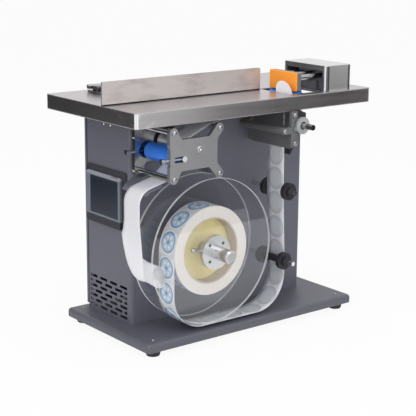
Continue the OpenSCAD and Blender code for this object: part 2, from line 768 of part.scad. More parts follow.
module lobed_knob(x) {
  z = table_h + gap + arm_t + gap;
  lobes = 6;
  core = knob_d * 0.36;
  lobe_h = knob_h - knob_hub_h;
  color([0.06, 0.06, 0.06]) place() translate([x, knob_y, z]) difference() {
    union() {
      cylinder(d = knob_hub_d, h = knob_hub_h);
      translate([0, 0, knob_hub_h]) intersection() {
        linear_extrude(lobe_h) union() {
          circle(core);
          for (i = [0:lobes - 1]) rotate(i * 360 / lobes) translate([core, 0]) circle(knob_d / 2 - core);
        }
        rotate_extrude() polygon(concat([[0, 0], [knob_d / 2, 0], [knob_d / 2, lobe_h - knob_crown]],
          [for (a = [0:15:90])
            [knob_d / 2 - knob_crown * (1 - cos(a)), lobe_h - knob_crown * (1 - 0.8 * sin(a))]],
          [[0, lobe_h]]));
      }
    }
    translate([0, 0, -cut]) cylinder(d = stud_d + 2 * fit, h = lobe_h + cut);
  }
}
module clamp_knob_left() { lobed_knob(knob_spots[0]); }
module clamp_knob_right() { lobed_knob(knob_spots[1]); }

// Press unit
module press_housing() {
  inner = housing_h - housing_t;
  color("silver") place() translate([housing_x, housing_y, table_h]) difference() {
    linear_extrude(housing_h) round_rect([0, 0], [housing_l, housing_d], housing_r);
    translate([0, 0, -cut]) linear_extrude(inner + cut)
      round_rect([housing_t, housing_t], [housing_l - 2 * housing_t, housing_d - 2 * housing_t],
        housing_r - housing_t);
    box([-cut, housing_lip, -cut],
      [housing_t + 2 * cut, housing_d - 2 * housing_lip, housing_h - housing_lip + cut]);
  }
}
press_rods_y = [press_mid - press_rod_dy, press_mid + press_rod_dy];
module press_block() {
  w = 2 * press_rod_dy + 24;
  color([0.1, 0.1, 0.11]) place() difference() {
    union() {
      box([block_x, press_mid - w / 2, table_h], [block_l, w, block_h]);
      box([block_x - 8, press_mid - 15, table_h], [8 + cut, 30, 14]);
    }
    for (y = press_rods_y)
      xcyl(block_x - cut, block_x + block_l + cut, y, press_rod_z, press_rod_d + 2 * fit);
    xcyl(block_x - cut, block_x + block_l + cut, press_mid, press_rod_z, piston_d + 2 * fit);
  }
}
module press_rods() {
  color("gainsboro") place() {
    for (y = press_rods_y) xcyl(rod_x, press_rod_end, y, press_rod_z, press_rod_d);
    xcyl(rod_x, press_rod_end, press_mid, press_rod_z, piston_d);
  }
}
module press_plate() {
  color("darkgray") place() xslab(plate_x, pad_plate_t) round_rect([pad_y, pad_z], [pad_w, pad_h], 2);
}
module press_foam() {
  color("orange") place() xslab(pad_x, foam_t) round_rect([pad_y, pad_z], [pad_w, pad_h], 3);
}

// Blue roller in the window
module table_roller() {
  color([0.13, 0.35, 0.8]) place() difference() {
    ycyl(roller_x, roller_z, roller_mid - roller_len / 2, roller_mid + roller_len / 2, table_roller_d);
    ycyl(roller_x, roller_z, roller_mid - roller_len / 2 - cut, roller_mid + roller_len / 2 + cut,
      roller_axle_d + 2 * fit);
  }
}
module table_roller_axle() {
  color("silver") place()
    ycyl(roller_x, roller_z, block_front_y + 1, block_back_y + roller_block_t - 1, roller_axle_d);
}
module table_roller_blocks() {
  color([0.15, 0.15, 0.16]) place() for (y = [block_front_y, block_back_y]) difference() {
    yslab(y, roller_block_t) union() {
      translate([roller_x - roller_block_w / 2, roller_z]) square([roller_block_w, under_table - roller_z]);
      translate([roller_x, roller_z]) circle(d = roller_block_w);
    }
    ycyl(roller_x, roller_z, y - cut, y + roller_block_t + cut, roller_axle_d + 2 * fit);
  }
}

// Drive unit
waist_low = 26.5;
waist_up = 27;
waist_right = 43.7;
waist_z = [drive_z - waist_low, drive_z + waist_up];
waist_x = drive_x + waist_right;
module plate_outline() {
  left = drive_x - ear_dx - ear_r;
  offset(r = -6, $fn = 24) offset(delta = 6) union() {
    translate([left + 1, waist_z[0]]) square([waist_x - left - 1, waist_z[1] - waist_z[0]]);
    for (e = ears) {
      right = e[0] > drive_x ? 1 : 0;
      up = e[1] > drive_z ? 1 : 0;
      translate(e) circle(ear_r, $fn = 32);
      root_x = right ? waist_x - 22 : left + 1;
      root_z = waist_z[up] - (up ? 6 : -6);
      polygon(right
        ? [e + ear_r * unit(up ? 135 : 225), [root_x, root_z], [waist_x, root_z],
          e + ear_r * unit(up ? -45 : 45)]
        : [[left, e[1]], [left, root_z], [left + 28, root_z], [left + 2 * ear_r, e[1]]]);
    }
  }
}
module plate_bores(y) {
  slot_l = 27;
  ycyl(drive_axis[0], drive_axis[1], y - cut, y + plate_t + cut, shaft_d + 2 * fit);
  yslab(y - cut, plate_t + 2 * cut)
    slot([pinch_axis[0] - slot_l / 2 + shaft_d / 2 + gap, pinch_axis[1]], slot_l, shaft_d + 2 * fit);
  xcyl(drive_x - ear_dx - ear_r - cut, pinch_axis[0] - slot_l / 2, y + plate_t / 2, pinch_axis[1], 5.2);
}
module drive_front_plate() {
  color("silver") place() difference() {
    yslab(plate_front_y, plate_t) plate_outline();
    plate_bores(plate_front_y);
    for (e = ears) ycyl(e[0], e[1], plate_front_y - cut, plate_front_y + plate_t + cut, 5.2);
  }
}
module drive_back_plate() {
  color("silver") place() difference() {
    yslab(plate_back_y, plate_t) plate_outline();
    plate_bores(plate_back_y);
    for (e = ears) ycyl(e[0], e[1], plate_back_y - cut, plate_back_y + plate_t + cut, tie_d + 2 * fit);
  }
}
module drive_tie_rods() {
  color("gainsboro") place() for (e = ears) difference() {
    ycyl(e[0], e[1], plate_front_y + plate_t, cab_y, tie_d);
    ycyl(e[0], e[1], plate_front_y + plate_t - cut, plate_front_y + plate_t + 12, 5.2);
  }
}
peel_screw_spots = [guide_bar, [peel_x, peel_z + peel_h - 7], [bar_x, arm_z]];
low_screw = [peel_x + 1.2, arm_z + 1.8];
low_head = 1.6;
module plate_screws() {
  color("gainsboro") place() {
    for (e = ears) front_screw(e[0], e[1], plate_front_y, plate_t + 10);
    for (p = peel_screw_spots) front_screw(p[0], p[1], peel_front_y, peel_t - 0.5);
    ycyl(low_screw[0], low_screw[1], peel_front_y - low_head, peel_front_y, 9);
    ycyl(low_screw[0], low_screw[1], peel_front_y - cut, peel_front_y + peel_t - 0.5, 5);
  }
}
module drive_roller() {
  color("darkgray") place() difference() {
    ycyl(drive_axis[0], drive_axis[1], roller_y0, roller_y1, drive_d);
    ycyl(drive_axis[0], drive_axis[1], roller_y0 - cut, roller_y1 + cut, shaft_d + 2 * fit);
  }
}
module drive_shaft() {
  color("gainsboro") place() {
    ycyl(drive_axis[0], drive_axis[1], plate_front_y - 1.5, belt_y + pulley_w, shaft_d);
    for (y = [plate_front_y + plate_t + 1, plate_back_y - 4])
      ycyl(drive_axis[0], drive_axis[1], y, y + 3, shaft_d + 8);
  }
}
module toothed_pulley(d, bore) {
  teeth = round(d * PI / 5);
  difference() {
    union() {
      yslab(belt_y + 2, belt_w) difference() {
        circle(d = d);
        for (i = [0:teeth - 1]) rotate(i * 360 / teeth) translate([d / 2, 0]) square([2, 2.2], center = true);
      }
      for (y = [belt_y, belt_y + pulley_w - 2]) ycyl(0, 0, y, y + 2, d + 5);
    }
    ycyl(0, 0, belt_y - cut, belt_y + pulley_w + cut, bore);
  }
}
module drive_pulley() {
  color("gainsboro") place() translate([drive_axis[0], 0, drive_axis[1]])
    toothed_pulley(pulley_d, shaft_d + 2 * fit);
}
module motor_pulley() {
  color("gainsboro") place() translate([motor_axis[0], 0, motor_axis[1]]) {
    toothed_pulley(motor_pulley_d, motor_shaft_d - 1);
    ycyl(0, 0, belt_y - 2, motor_y + motor_shaft_in, motor_shaft_d);
  }
}
module belt_line(off) {
  r1 = pulley_d / 2 + off;
  r2 = motor_pulley_d / 2 + off;
  tilt = asin((r1 - r2) / motor_drop);
  translate(drive_axis) circle(r1);
  translate(motor_axis) circle(r2);
  polygon([drive_axis + r1 * unit(-tilt), drive_axis + r1 * unit(180 + tilt),
    motor_axis + r2 * unit(180 + tilt), motor_axis + r2 * unit(-tilt)]);
}
module drive_belt() {
  color([0.08, 0.08, 0.08]) place() yslab(belt_y + 2 + gap, belt_w - 2 * gap) difference() {
    belt_line(gap + belt_t);
    belt_line(gap);
  }
}
module pinch_roller() {
  color([0.13, 0.35, 0.8]) place() difference() {
    union() {
      ycyl(pinch_axis[0], pinch_axis[1], roller_y0 + 1, roller_y1 - 1, pinch_d);
      ycyl(pinch_axis[0], pinch_axis[1], roller_y0 - 3, roller_y1 + 3, shaft_d + 7);
    }
    ycyl(pinch_axis[0], pinch_axis[1], roller_y0 - 4, roller_y1 + 4, shaft_d + 2 * fit);
  }
}
module pinch_axle() {
  color("gainsboro") place()
    ycyl(pinch_axis[0], pinch_axis[1], plate_front_y - 1, plate_back_y + plate_t, shaft_d);
}
module pinch_screws() {
  color("gainsboro") place() for (y = [plate_front_y, plate_back_y]) {
    x0 = drive_x - ear_dx - ear_r - 16;
    difference() {
      xcyl(x0, x0 + 5, y + plate_t / 2, pinch_axis[1], 8.5);
      translate([x0 - cut, y + plate_t / 2, pinch_axis[1]]) rotate([0, 90, 0])
        cylinder(d = 4.6, h = 3.5, $fn = 6);
    }
    xcyl(x0 + 5, pinch_axis[0] - shaft_d / 2 - 0.2, y + plate_t / 2, pinch_axis[1], 5);
  }
}
module motor_plate() {
  side = motor_w + 16;
  reach = side / 2 - 5;
  color("silver") place() difference() {
    union() {
      yslab(motor_plate_y, motor_plate_t) translate(motor_axis - [side / 2, side / 2]) square(side);
      for (sx = [-1, 1], sz = [-1, 1])
        ycyl(motor_axis[0] + sx * reach, motor_axis[1] + sz * reach, cab_y + cab_t, motor_plate_y + cut, 8);
    }
    ycyl(motor_axis[0], motor_axis[1], motor_plate_y - cut, motor_plate_y + motor_plate_t + cut, 38.4);
  }
}
module motor() {
  color([0.12, 0.12, 0.13]) place() difference() {
    union() {
      yslab(motor_y, motor_l) round_rect(motor_axis - [motor_w / 2, motor_w / 2], [motor_w, motor_w], 5);
      ycyl(motor_axis[0], motor_axis[1], motor_y - 2, motor_y + cut, 38);
    }
    for (sx = [-1, 1], sz = [-1, 1])
      box([motor_axis[0] + sx * motor_w / 2 - 4, motor_y + 8, motor_axis[1] + sz * motor_w / 2 - 4],
        [8, motor_l, 8]);
    ycyl(motor_axis[0], motor_axis[1], motor_y - 2 - cut, motor_y + motor_shaft_in + gap,
      motor_shaft_d + 2 * fit);
  }
}
supply_l = 110;
supply_d = 42;
supply_h = 60;
supply_from_end = 190;
supply_up = 20;
supply_x = cab_x + cab_l - supply_from_end;
supply_z = base_top + supply_up;
supply_pitch = 11;
module power_supply() {
  margin = 8;
  color("lightgray") place() difference() {
    box([supply_x, cab_y + cab_t, supply_z], [supply_l, supply_d, supply_h]);
    for (i = [0:floor((supply_l - 2 * margin) / supply_pitch)]) yslab(cab_y + cab_t + supply_d - 2, 3)
      translate([supply_x + margin + i * supply_pitch, supply_z + 10]) square([5, supply_h - 20]);
  }
}
board_h = 90;
board_t = 2;
board_up = 190;
board_off = 10;
board_post = 6;
module control_board() {
  x = supply_x;
  z = base_top + board_up;
  back = cab_y + cab_t;
  face = back + board_off + board_t - 0.5;
  terminal = [20, 12, 10];
  color([0.05, 0.3, 0.15]) place() {
    for (dx = [board_post, supply_l - board_post], dz = [board_post, board_h - board_post])
      ycyl(x + dx, z + dz, back, back + board_off, board_post);
    box([x, back + board_off, z], [supply_l, board_t, board_h]);
    for (i = [0:3]) box([x + 8 + i * 1.2 * terminal[0], face, z + board_h - 18], terminal);
    box([x + 20, face, z + 15], [28, 4, 28]);
    box([x + 62, face, z + 12], [34, 22, 34]);
  }
}

// Reel
spindle_y = -spindle_out;
hub_y = disc_front_y - disc_t - hub_t;
boss_l = 24;
boss_d = core_d - 2 * gap;
neck_d = 60;
bearing_d = 58;
neck_l = 12;
bearing_in = 20;
bearing_l = cab_y - disc_back_y - disc_t - neck_l - gap;
module reel_bearing() {
  color("darkgray") place() difference() {
    union() {
      ycyl(reel_x, reel_z, cab_y - bearing_l, cab_y, bearing_d);
      ycyl(reel_x, reel_z, cab_y - 8, cab_y, bearing_d + 24);
      ycyl(reel_x, reel_z, cab_y - cut, cab_y + cab_t + bearing_in, spindle_d + 7.6);
    }
    ycyl(reel_x, reel_z, 0, cab_back, spindle_d + 2 * fit);
  }
}
module reel_spindle() {
  bevel = 3;
  r = spindle_d / 2;
  collar = cab_y + cab_t + bearing_in + gap - spindle_y;
  color("gainsboro") place() translate([reel_x, spindle_y, reel_z]) rotate([-90, 0, 0]) rotate_extrude()
    polygon([[0, 0], [r - bevel, 0], [r, bevel], [r, collar], [r + 6, collar], [r + 6, collar + 12],
      [0, collar + 12]]);
}
module core_hub() {
  color([0.9, 0.86, 0.66]) place() difference() {
    union() {
      ycyl(reel_x, reel_z, disc_back_y - boss_l, disc_back_y, boss_d);
      ycyl(reel_x, reel_z, disc_back_y - cut, disc_back_y + disc_t + neck_l, neck_d);
    }
    ycyl(reel_x, reel_z, 0, cab_y, spindle_d + 2 * fit);
  }
}
module reel_back_disc() {
  color([0.85, 0.9, 0.95, 0.4]) place() difference() {
    ycyl(reel_x, reel_z, disc_back_y, disc_back_y + disc_t, disc_d);
    ycyl(reel_x, reel_z, disc_back_y - cut, disc_back_y + disc_t + cut, neck_d + 2 * fit);
  }
}
module reel_front_disc() {
  color([0.85, 0.9, 0.95, 0.4]) place() difference() {
    ycyl(reel_x, reel_z, disc_front_y - disc_t, disc_front_y, disc_d);
    ycyl(reel_x, reel_z, disc_front_y - disc_t - cut, disc_front_y + cut, spindle_d + 2 * fit);
  }
}
screw_turn = 168;
module reel_hub() {
  color("silver") place() difference() {
    ycyl(reel_x, reel_z, hub_y, hub_y + hub_t, hub_d);
    ycyl(reel_x, reel_z, hub_y - cut, hub_y + hub_t + cut, spindle_d + 2 * fit);
    for (a = [45:90:315]) translate([reel_x, 0, reel_z]) rotate([0, -a, 0])
      ycyl(hub_d * 0.34, 0, hub_y - cut, hub_y + 4, 6);
    translate([reel_x, hub_y + hub_t / 2, reel_z]) rotate([0, -screw_turn, 0])
      xcyl(0, hub_d, 0, 0, 5 + 2 * fit);
  }
}
module thumb_screw() {
  stem = spindle_d / 2 + gap;
  color("gainsboro") place() translate([reel_x, hub_y + hub_t / 2, reel_z]) rotate([0, -screw_turn, 0]) {
    xcyl(stem, hub_d / 2 + 16, 0, 0, 5);
    xcyl(hub_d / 2 + 9, hub_d / 2 + 18, 0, 0, 8);
    translate([hub_d / 2 + 18, 0, 0]) sphere(d = 8);
  }
}
module label_core() {
  color([0.62, 0.52, 0.4]) place() difference() {
    ycyl(reel_x, reel_z, web_y, web_y + web_w, core_d + 2 * core_t);
    ycyl(reel_x, reel_z, web_y - cut, web_y + web_w + cut, core_d);
  }
}
module label_roll() {
  color([0.94, 0.92, 0.87]) place() difference() {
    ycyl(reel_x, reel_z, web_y, web_y + web_w, roll_d);
    ycyl(reel_x, reel_z, web_y - cut, web_y + web_w + cut, core_d + 2 * core_t + 2 * fit);
  }
}

// Guide rods
guide_axes = [[lower_rod_x, lower_rod_z], [upper_rod_x, upper_rod_z]];
collar_front_y = web_y - 1 - collar_t;
collar_back_y = web_y + web_w + 2;
collar_hub = 6;
rod_tails = [lower_tail, upper_tail];
module guide_rods() {
  color("gainsboro") place() for (i = [0, 1])
    ycyl(guide_axes[i][0], guide_axes[i][1], collar_front_y - rod_tails[i], cab_y + cab_t + 8, rod_d);
}
module guide_collars() {
  color([0.06, 0.06, 0.06]) place() for (r = guide_axes) difference() {
    union() {
      ycyl(r[0], r[1], collar_front_y, collar_front_y + collar_t, collar_d);
      ycyl(r[0], r[1], collar_front_y - collar_hub, collar_front_y + cut, rod_d + 9);
      ycyl(r[0], r[1], collar_back_y, collar_back_y + collar_t, collar_d);
      ycyl(r[0], r[1], collar_back_y + collar_t - cut, collar_back_y + collar_t + collar_hub, rod_d + 9);
    }
    ycyl(r[0], r[1], collar_front_y - 2 * collar_hub, cab_y, rod_d + 2 * fit);
  }
}
module guide_sleeve(r) {
  color([0.09, 0.09, 0.1]) place() difference() {
    ycyl(r[0], r[1], collar_front_y + collar_t + gap, collar_back_y - gap, sleeve_d);
    ycyl(r[0], r[1], collar_front_y - 2 * collar_hub, cab_y, rod_d + 2 * fit);
  }
}
module guide_sleeve_lower() { guide_sleeve(guide_axes[0]); }
module guide_sleeve_upper() { guide_sleeve(guide_axes[1]); }

// Peel unit
module peel_outline() {
  translate([peel_x - peel_w / 2, peel_z]) square([peel_w, peel_h]);
  translate([bar_x, arm_z - arm_h / 2]) square([peel_x - bar_x, arm_h]);
  translate([bar_x, arm_z]) circle(d = arm_h);
  translate([peel_x, hand_axis[1] - 9]) square([peel_w / 2 + bearing_w - 9, 18]);
  translate(hand_axis) circle(9);
}
peel_axle_d = 8;
module peel_end_plates() {
  color("gray") place() for (y = [peel_front_y, peel_back_y]) difference() {
    yslab(y, peel_t) peel_outline();
    ycyl(hand_axis[0], hand_axis[1], y - cut, y + peel_t + cut, peel_axle_d + 2 * fit);
    for (p = concat(peel_screw_spots, [low_screw])) ycyl(p[0], p[1], y - cut, y + peel_t + cut, 5.2);
  }
}
module peel_tie_bar() {
  color("darkgray") place() {
    ycyl(bar_x, arm_z, peel_front_y + peel_t, peel_back_y, bar_d);
    ycyl(guide_bar[0], guide_bar[1], peel_front_y + peel_t, peel_back_y, guide_bar_d);
  }
}
module blade_line(off) {
  polygon([blade_foot + [-off, 0], blade_foot + [off, 0], blade_bend + off * [1, -tan(blade_lean / 2)],
    edge + off * blade_off, edge - off * blade_off, blade_bend - off * [1, -tan(blade_lean / 2)]]);
}
module peel_blade() {
  y0 = peel_front_y + peel_t;
  color("gray") place() yslab(y0, peel_back_y - y0) {
    blade_line(blade_t / 2);
    translate(edge) circle(edge_r);
  }
}
sensor_w = 20;
sensor_h = 21.5;
sensor_l = 8.5;
sensor_y = web_y - 14;
amp_t = peel_t - gap;
module label_sensor() {
  x = guide_bar[0] - guide_bar_d / 2 + 2 * gap;
  top = guide_bar[1];
  low = top - sensor_h;
  color([0.06, 0.06, 0.07]) place() {
    difference() {
      yslab(sensor_y, sensor_w) polygon([[x, low], [x + 1.5, low], [x + sensor_l, low + 11.5],
        [x + sensor_l, top], [x, top]]);
      ycyl(guide_bar[0], guide_bar[1], sensor_y - cut, sensor_y + sensor_w + cut, guide_bar_d + 2 * fit);
    }
    amp_x = peel_x + peel_w / 2;
    amp_z = peel_z + peel_h - 13;
    yslab(peel_front_y, amp_t) polygon([[amp_x, amp_z], [amp_x + 20, amp_z], [amp_x + 20, amp_z + 8.5],
      [amp_x + 13, amp_z + 10.8], [amp_x + 9, amp_z + 13.3], [amp_x, amp_z + 13.3]]);
  }
}
module peel_roller() {
  y0 = peel_front_y + peel_t + 1;
  y1 = peel_back_y - 1;
  color([0.2, 0.2, 0.21]) place() {
    ycyl(hand_axis[0], hand_axis[1], web_y - 3, web_y + web_w + 3, 2 * peel_roller_r);
    ycyl(hand_axis[0], hand_axis[1], y0, y1, peel_axle_d + 4);
    ycyl(hand_axis[0], hand_axis[1], peel_front_y - 1, peel_back_y + peel_t - 1, peel_axle_d);
  }
}
module peel_knob() {
  y1 = peel_front_y - 2;
  color("gainsboro") place() {
    difference() {
      union() {
        ycyl(hand_axis[0], hand_axis[1], y1 - hand_t, y1, hand_d);
        ycyl(hand_axis[0], hand_axis[1], y1 - hand_t - hand_stem, y1, 10);
        ycyl(hand_axis[0], hand_axis[1], y1 - cut, y1 + 1, 12);
      }
      for (i = [0:23]) translate([hand_axis[0], 0, hand_axis[1]]) rotate([0, i * 15, 0])
        ycyl(hand_d / 2 + 0.6, 0, y1 - hand_t - cut, y1 + cut, 2.6);
    }
  }
}

// Paper
module label_strip() { color([0.86, 0.87, 0.9]) place() web(strip_wraps, strip_ways[0]); }
// Closed sheet between two grids of points with the same rows and columns
module sheet(outer, inner) {
  rows = len(outer);
  cols = len(outer[0]);
  size = rows * cols;
  function spot(i, k, side) = side * size + i * cols + k;
  faces = concat(
    [for (i = [0:rows - 2], k = [0:cols - 2], s = [0, 1]) let (
        a = spot(i, k, s), b = spot(i + 1, k, s), c = spot(i + 1, k + 1, s), d = spot(i, k + 1, s))
      each s == 0 ? [[a, d, c], [a, c, b]] : [[a, b, c], [a, c, d]]],
    [for (i = [0:rows - 2], k = [0, cols - 1]) let (
        a = spot(i, k, 0), b = spot(i + 1, k, 0), c = spot(i + 1, k, 1), d = spot(i, k, 1))
      each k == 0 ? [[a, b, c], [a, c, d]] : [[a, d, c], [a, c, b]]],
    [for (i = [0, rows - 1], k = [0:cols - 2]) let (
        a = spot(i, k, 0), b = spot(i, k + 1, 0), c = spot(i, k + 1, 1), d = spot(i, k, 1))
      each i == 0 ? [[a, d, c], [a, c, b]] : [[a, b, c], [a, c, d]]]);
  polyhedron([for (side = [outer, inner], row = side, q = row) q], faces);
}
module waste_liner() {
  color("white") place() sheet(concat(flat_side(-web_t / 2), tail_side(-web_t / 2)),
    concat(flat_side(web_t / 2), tail_side(web_t / 2)));
}
module standing_label() {
  middle = climb_end + climb_dir * ((table_h + label_up - climb_end[1]) / climb_dir[1] - label_d / 2);
  at = middle + climb_right * (web_t / 2 + 0.1);
  color("white") place() translate([at[0], web_y + web_w / 2, at[1]]) rotate([0, 90 - climb, 0])
    rotate([0, 90, 0]) cylinder(d = label_d, h = web_t);
}

base_plate();
rubber_feet();
cabinet_shell();
rear_cover();
tabletop();
screen_surround();
screen_bezel();
screen_glass();
fence_plate();
fence_arms();
clamp_knob_left();
clamp_knob_right();
press_housing();
press_block();
press_rods();
press_plate();
press_foam();
table_roller();
table_roller_axle();
table_roller_blocks();
drive_front_plate();
drive_back_plate();
drive_tie_rods();
plate_screws();
drive_roller();
drive_shaft();
drive_pulley();
pinch_roller();
pinch_axle();
pinch_screws();
motor();
motor_plate();
motor_pulley();
drive_belt();
power_supply();
control_board();
power_inlet();
rocker_switch();
reel_bearing();
reel_spindle();
core_hub();
reel_back_disc();
label_core();
label_roll();
reel_front_disc();
reel_hub();
thumb_screw();
guide_rods();
guide_collars();
guide_sleeve_upper();
guide_sleeve_lower();
peel_end_plates();
peel_tie_bar();
peel_blade();
label_sensor();
peel_roller();
peel_knob();
label_strip();
waste_liner();
standing_label();
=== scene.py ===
"""Looks of a bench corner labelling machine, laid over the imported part."""

import math

import bmesh
import bpy
from mathutils import Matrix, Vector


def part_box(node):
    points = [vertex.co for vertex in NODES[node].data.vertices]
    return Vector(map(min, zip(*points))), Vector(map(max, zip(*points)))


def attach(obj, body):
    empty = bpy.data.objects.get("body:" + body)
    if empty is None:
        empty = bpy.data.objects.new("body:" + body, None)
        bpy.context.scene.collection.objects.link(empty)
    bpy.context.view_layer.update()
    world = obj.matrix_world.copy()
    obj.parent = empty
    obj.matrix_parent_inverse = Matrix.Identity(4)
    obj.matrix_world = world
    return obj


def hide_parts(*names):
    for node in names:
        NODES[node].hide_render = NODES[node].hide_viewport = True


bl_info = {
    "name": "Corner labelling machine",
    "version": (1, 0, 0),
    "blender": (4, 5, 0),
    "location": "View3D > Sidebar > Labeller",
    "description": "Dresses the packed labelling machine: finishes, paper, fasteners and stage",
    "category": "Object",
}

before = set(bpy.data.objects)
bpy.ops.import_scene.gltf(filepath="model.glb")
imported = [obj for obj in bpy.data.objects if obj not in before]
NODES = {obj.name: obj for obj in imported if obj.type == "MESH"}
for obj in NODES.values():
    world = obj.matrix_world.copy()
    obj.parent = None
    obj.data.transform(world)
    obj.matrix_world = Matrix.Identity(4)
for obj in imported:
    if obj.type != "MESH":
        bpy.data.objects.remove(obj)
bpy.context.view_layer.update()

# Places in bench millimetres, from the table's front left corner and the floor, as in the source

REEL = (173.4, 169.0)
KNOB = (356.7, 376.8)
DRIVE = (130.5, 358.0)
STUD = (329.3, 12.0)
STUD_FOOT = 376.0
STUD_NUTS = (381.0, 392.0)
LABEL_X = 356.9
WEB_FRONT, WEB_BACK = 21.0, 67.0
COVER_JOINT = 253.9
BASE_TOP = 27.0
BASE_SCREWS = [(x, y) for x in (53, 488) for y in (29, 251)]
REAR_FACE = 261.0
REAR_SCREWS = [(x, z) for x in (76, 269, 462) for z in (40, 415)]
SIDE_FACE = 68.0
SIDE_SCREWS = [(197, 381), (176, 381)]
FENCE_HOLES = (81, 95, 257, 271)
# Circles that the strip runs round: x, z, radius and side
STRIP_WRAPS = [
    (173.4, 169.0, 80.45, 1), (156.95, 97.5, 64.0, 1), (282.45, 97.5, 64.0, 1),
    (339.5, 123.0, 6.95, 1), (347.5, 253.0, 6.95, -1), (342.9, 345.0, 3.45, -1),
    (356.4, 425.0, 1.45, 1),
]
LINER_WRAPS = [
    (356.4, 425.0, 1.45, 1), (174.4, 390.3, 5.45, 1), (130.5, 358.0, 17.95, 1),
    (99.551, 344.414, 15.75, -1), (77.6, 311.7, 5.45, -1), (49.0, 269.6, 28.0, 1),
    (21.0, 240.0, 0.0, 1),
]
# Tail of the backing paper: offsets of its back and front edges from its start, and its belly
TAIL_FROM = (21.0, 21.0, 240.0)
TAIL_BELLY = (-6.0, 0.0, -23.0)
TAIL_ROWS = [
    ((0, 46, 0), (0, 0, 0), 0.0), ((-2, 46, -15), (4, 0, -45), 0.35),
    ((-4, 46, -29), (9, 0, -93), 1.0), ((9, 34, -50), (18, 0.5, -105), 0.6),
    ((23, 23, -69), (27, 1, -112), 0.25), ((36, 19, -78), (36, 2, -118), 0.0),
    ((50, 17, -85), (46, 4, -121), 0.0), ((62, 16, -91), (56, 7, -119), 0.0),
]
TAIL_STEPS = 6
# Steps of a paper route: degrees on an arc, millimetres on a straight
ARC_STEP, RUN_STEP = 4, 6

# Sizes of small pieces in metres

FOAM_EDGE = 0.0012
KNOB_SPINDLE = 0.0072
BASE_HEAD, REAR_HEAD, SIDE_HEAD, HUB_HEAD = 0.0016, 0.0018, 0.0022, 0.003
HUB_RECESS = 0.0039
PLUG_RADIUS, PLUG_LENGTH, PLUG_SUNK, PLUG_UP = 0.00262, 0.002, 0.00001, 0.016
STUD_RADIUS, STUD_LENGTH = 0.0014, 0.0522
NUT_RADIUS, NUT_HEIGHT = 0.0030, 0.0028
# Radius and height of the rings of the drive shaft's end
SHAFT_END = [
    (0.0052, 0), (0.0052, 0.001), (0.0046, 0.0015), (0.0020, 0.0015), (0.0012, 0.0006),
]
# Blank label on the tail: half its size along and across the paper, and its lift
OVAL = (0.0138, 0.0173, 0.0004)

# Studio cards in metres: name, foot, direction that it faces, width and height

CARDS = [
    ("front_card", (0.84, -0.74, 0.0), (0, 1, 0), 1.02, 0.50),
    ("low_card", (0.205, -0.74, 0.0), (0, 1, 0), 0.25, 0.13),
    ("side_card", (-0.78, 0.86, 0.0), (0.53, -0.82, 0), 1.40, 0.95),
]
# World's strength as light, where it isn't seen
AMBIENT = 0.6


def at(x, y, z):
    """Bench millimetres to the part's metres."""
    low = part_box("tabletop")[0]
    return Vector((low[0] + x / 1000, low[1] + y / 1000, z / 1000))


# Shader expressions


class Sock:
    """A node's output whose arithmetic adds Math nodes to its tree."""

    def __init__(self, finish, out):
        self.finish = finish
        self.out = out

    def __add__(self, other):
        return self.finish.math("ADD", self, other)

    __radd__ = __add__

    def __sub__(self, other):
        return self.finish.math("SUBTRACT", self, other)

    def __rsub__(self, other):
        return self.finish.math("SUBTRACT", other, self)

    def __mul__(self, other):
        return self.finish.math("MULTIPLY", self, other)

    __rmul__ = __mul__

    def __lt__(self, other):
        return self.finish.math("LESS_THAN", self, other)

    def __gt__(self, other):
        return self.finish.math("GREATER_THAN", self, other)


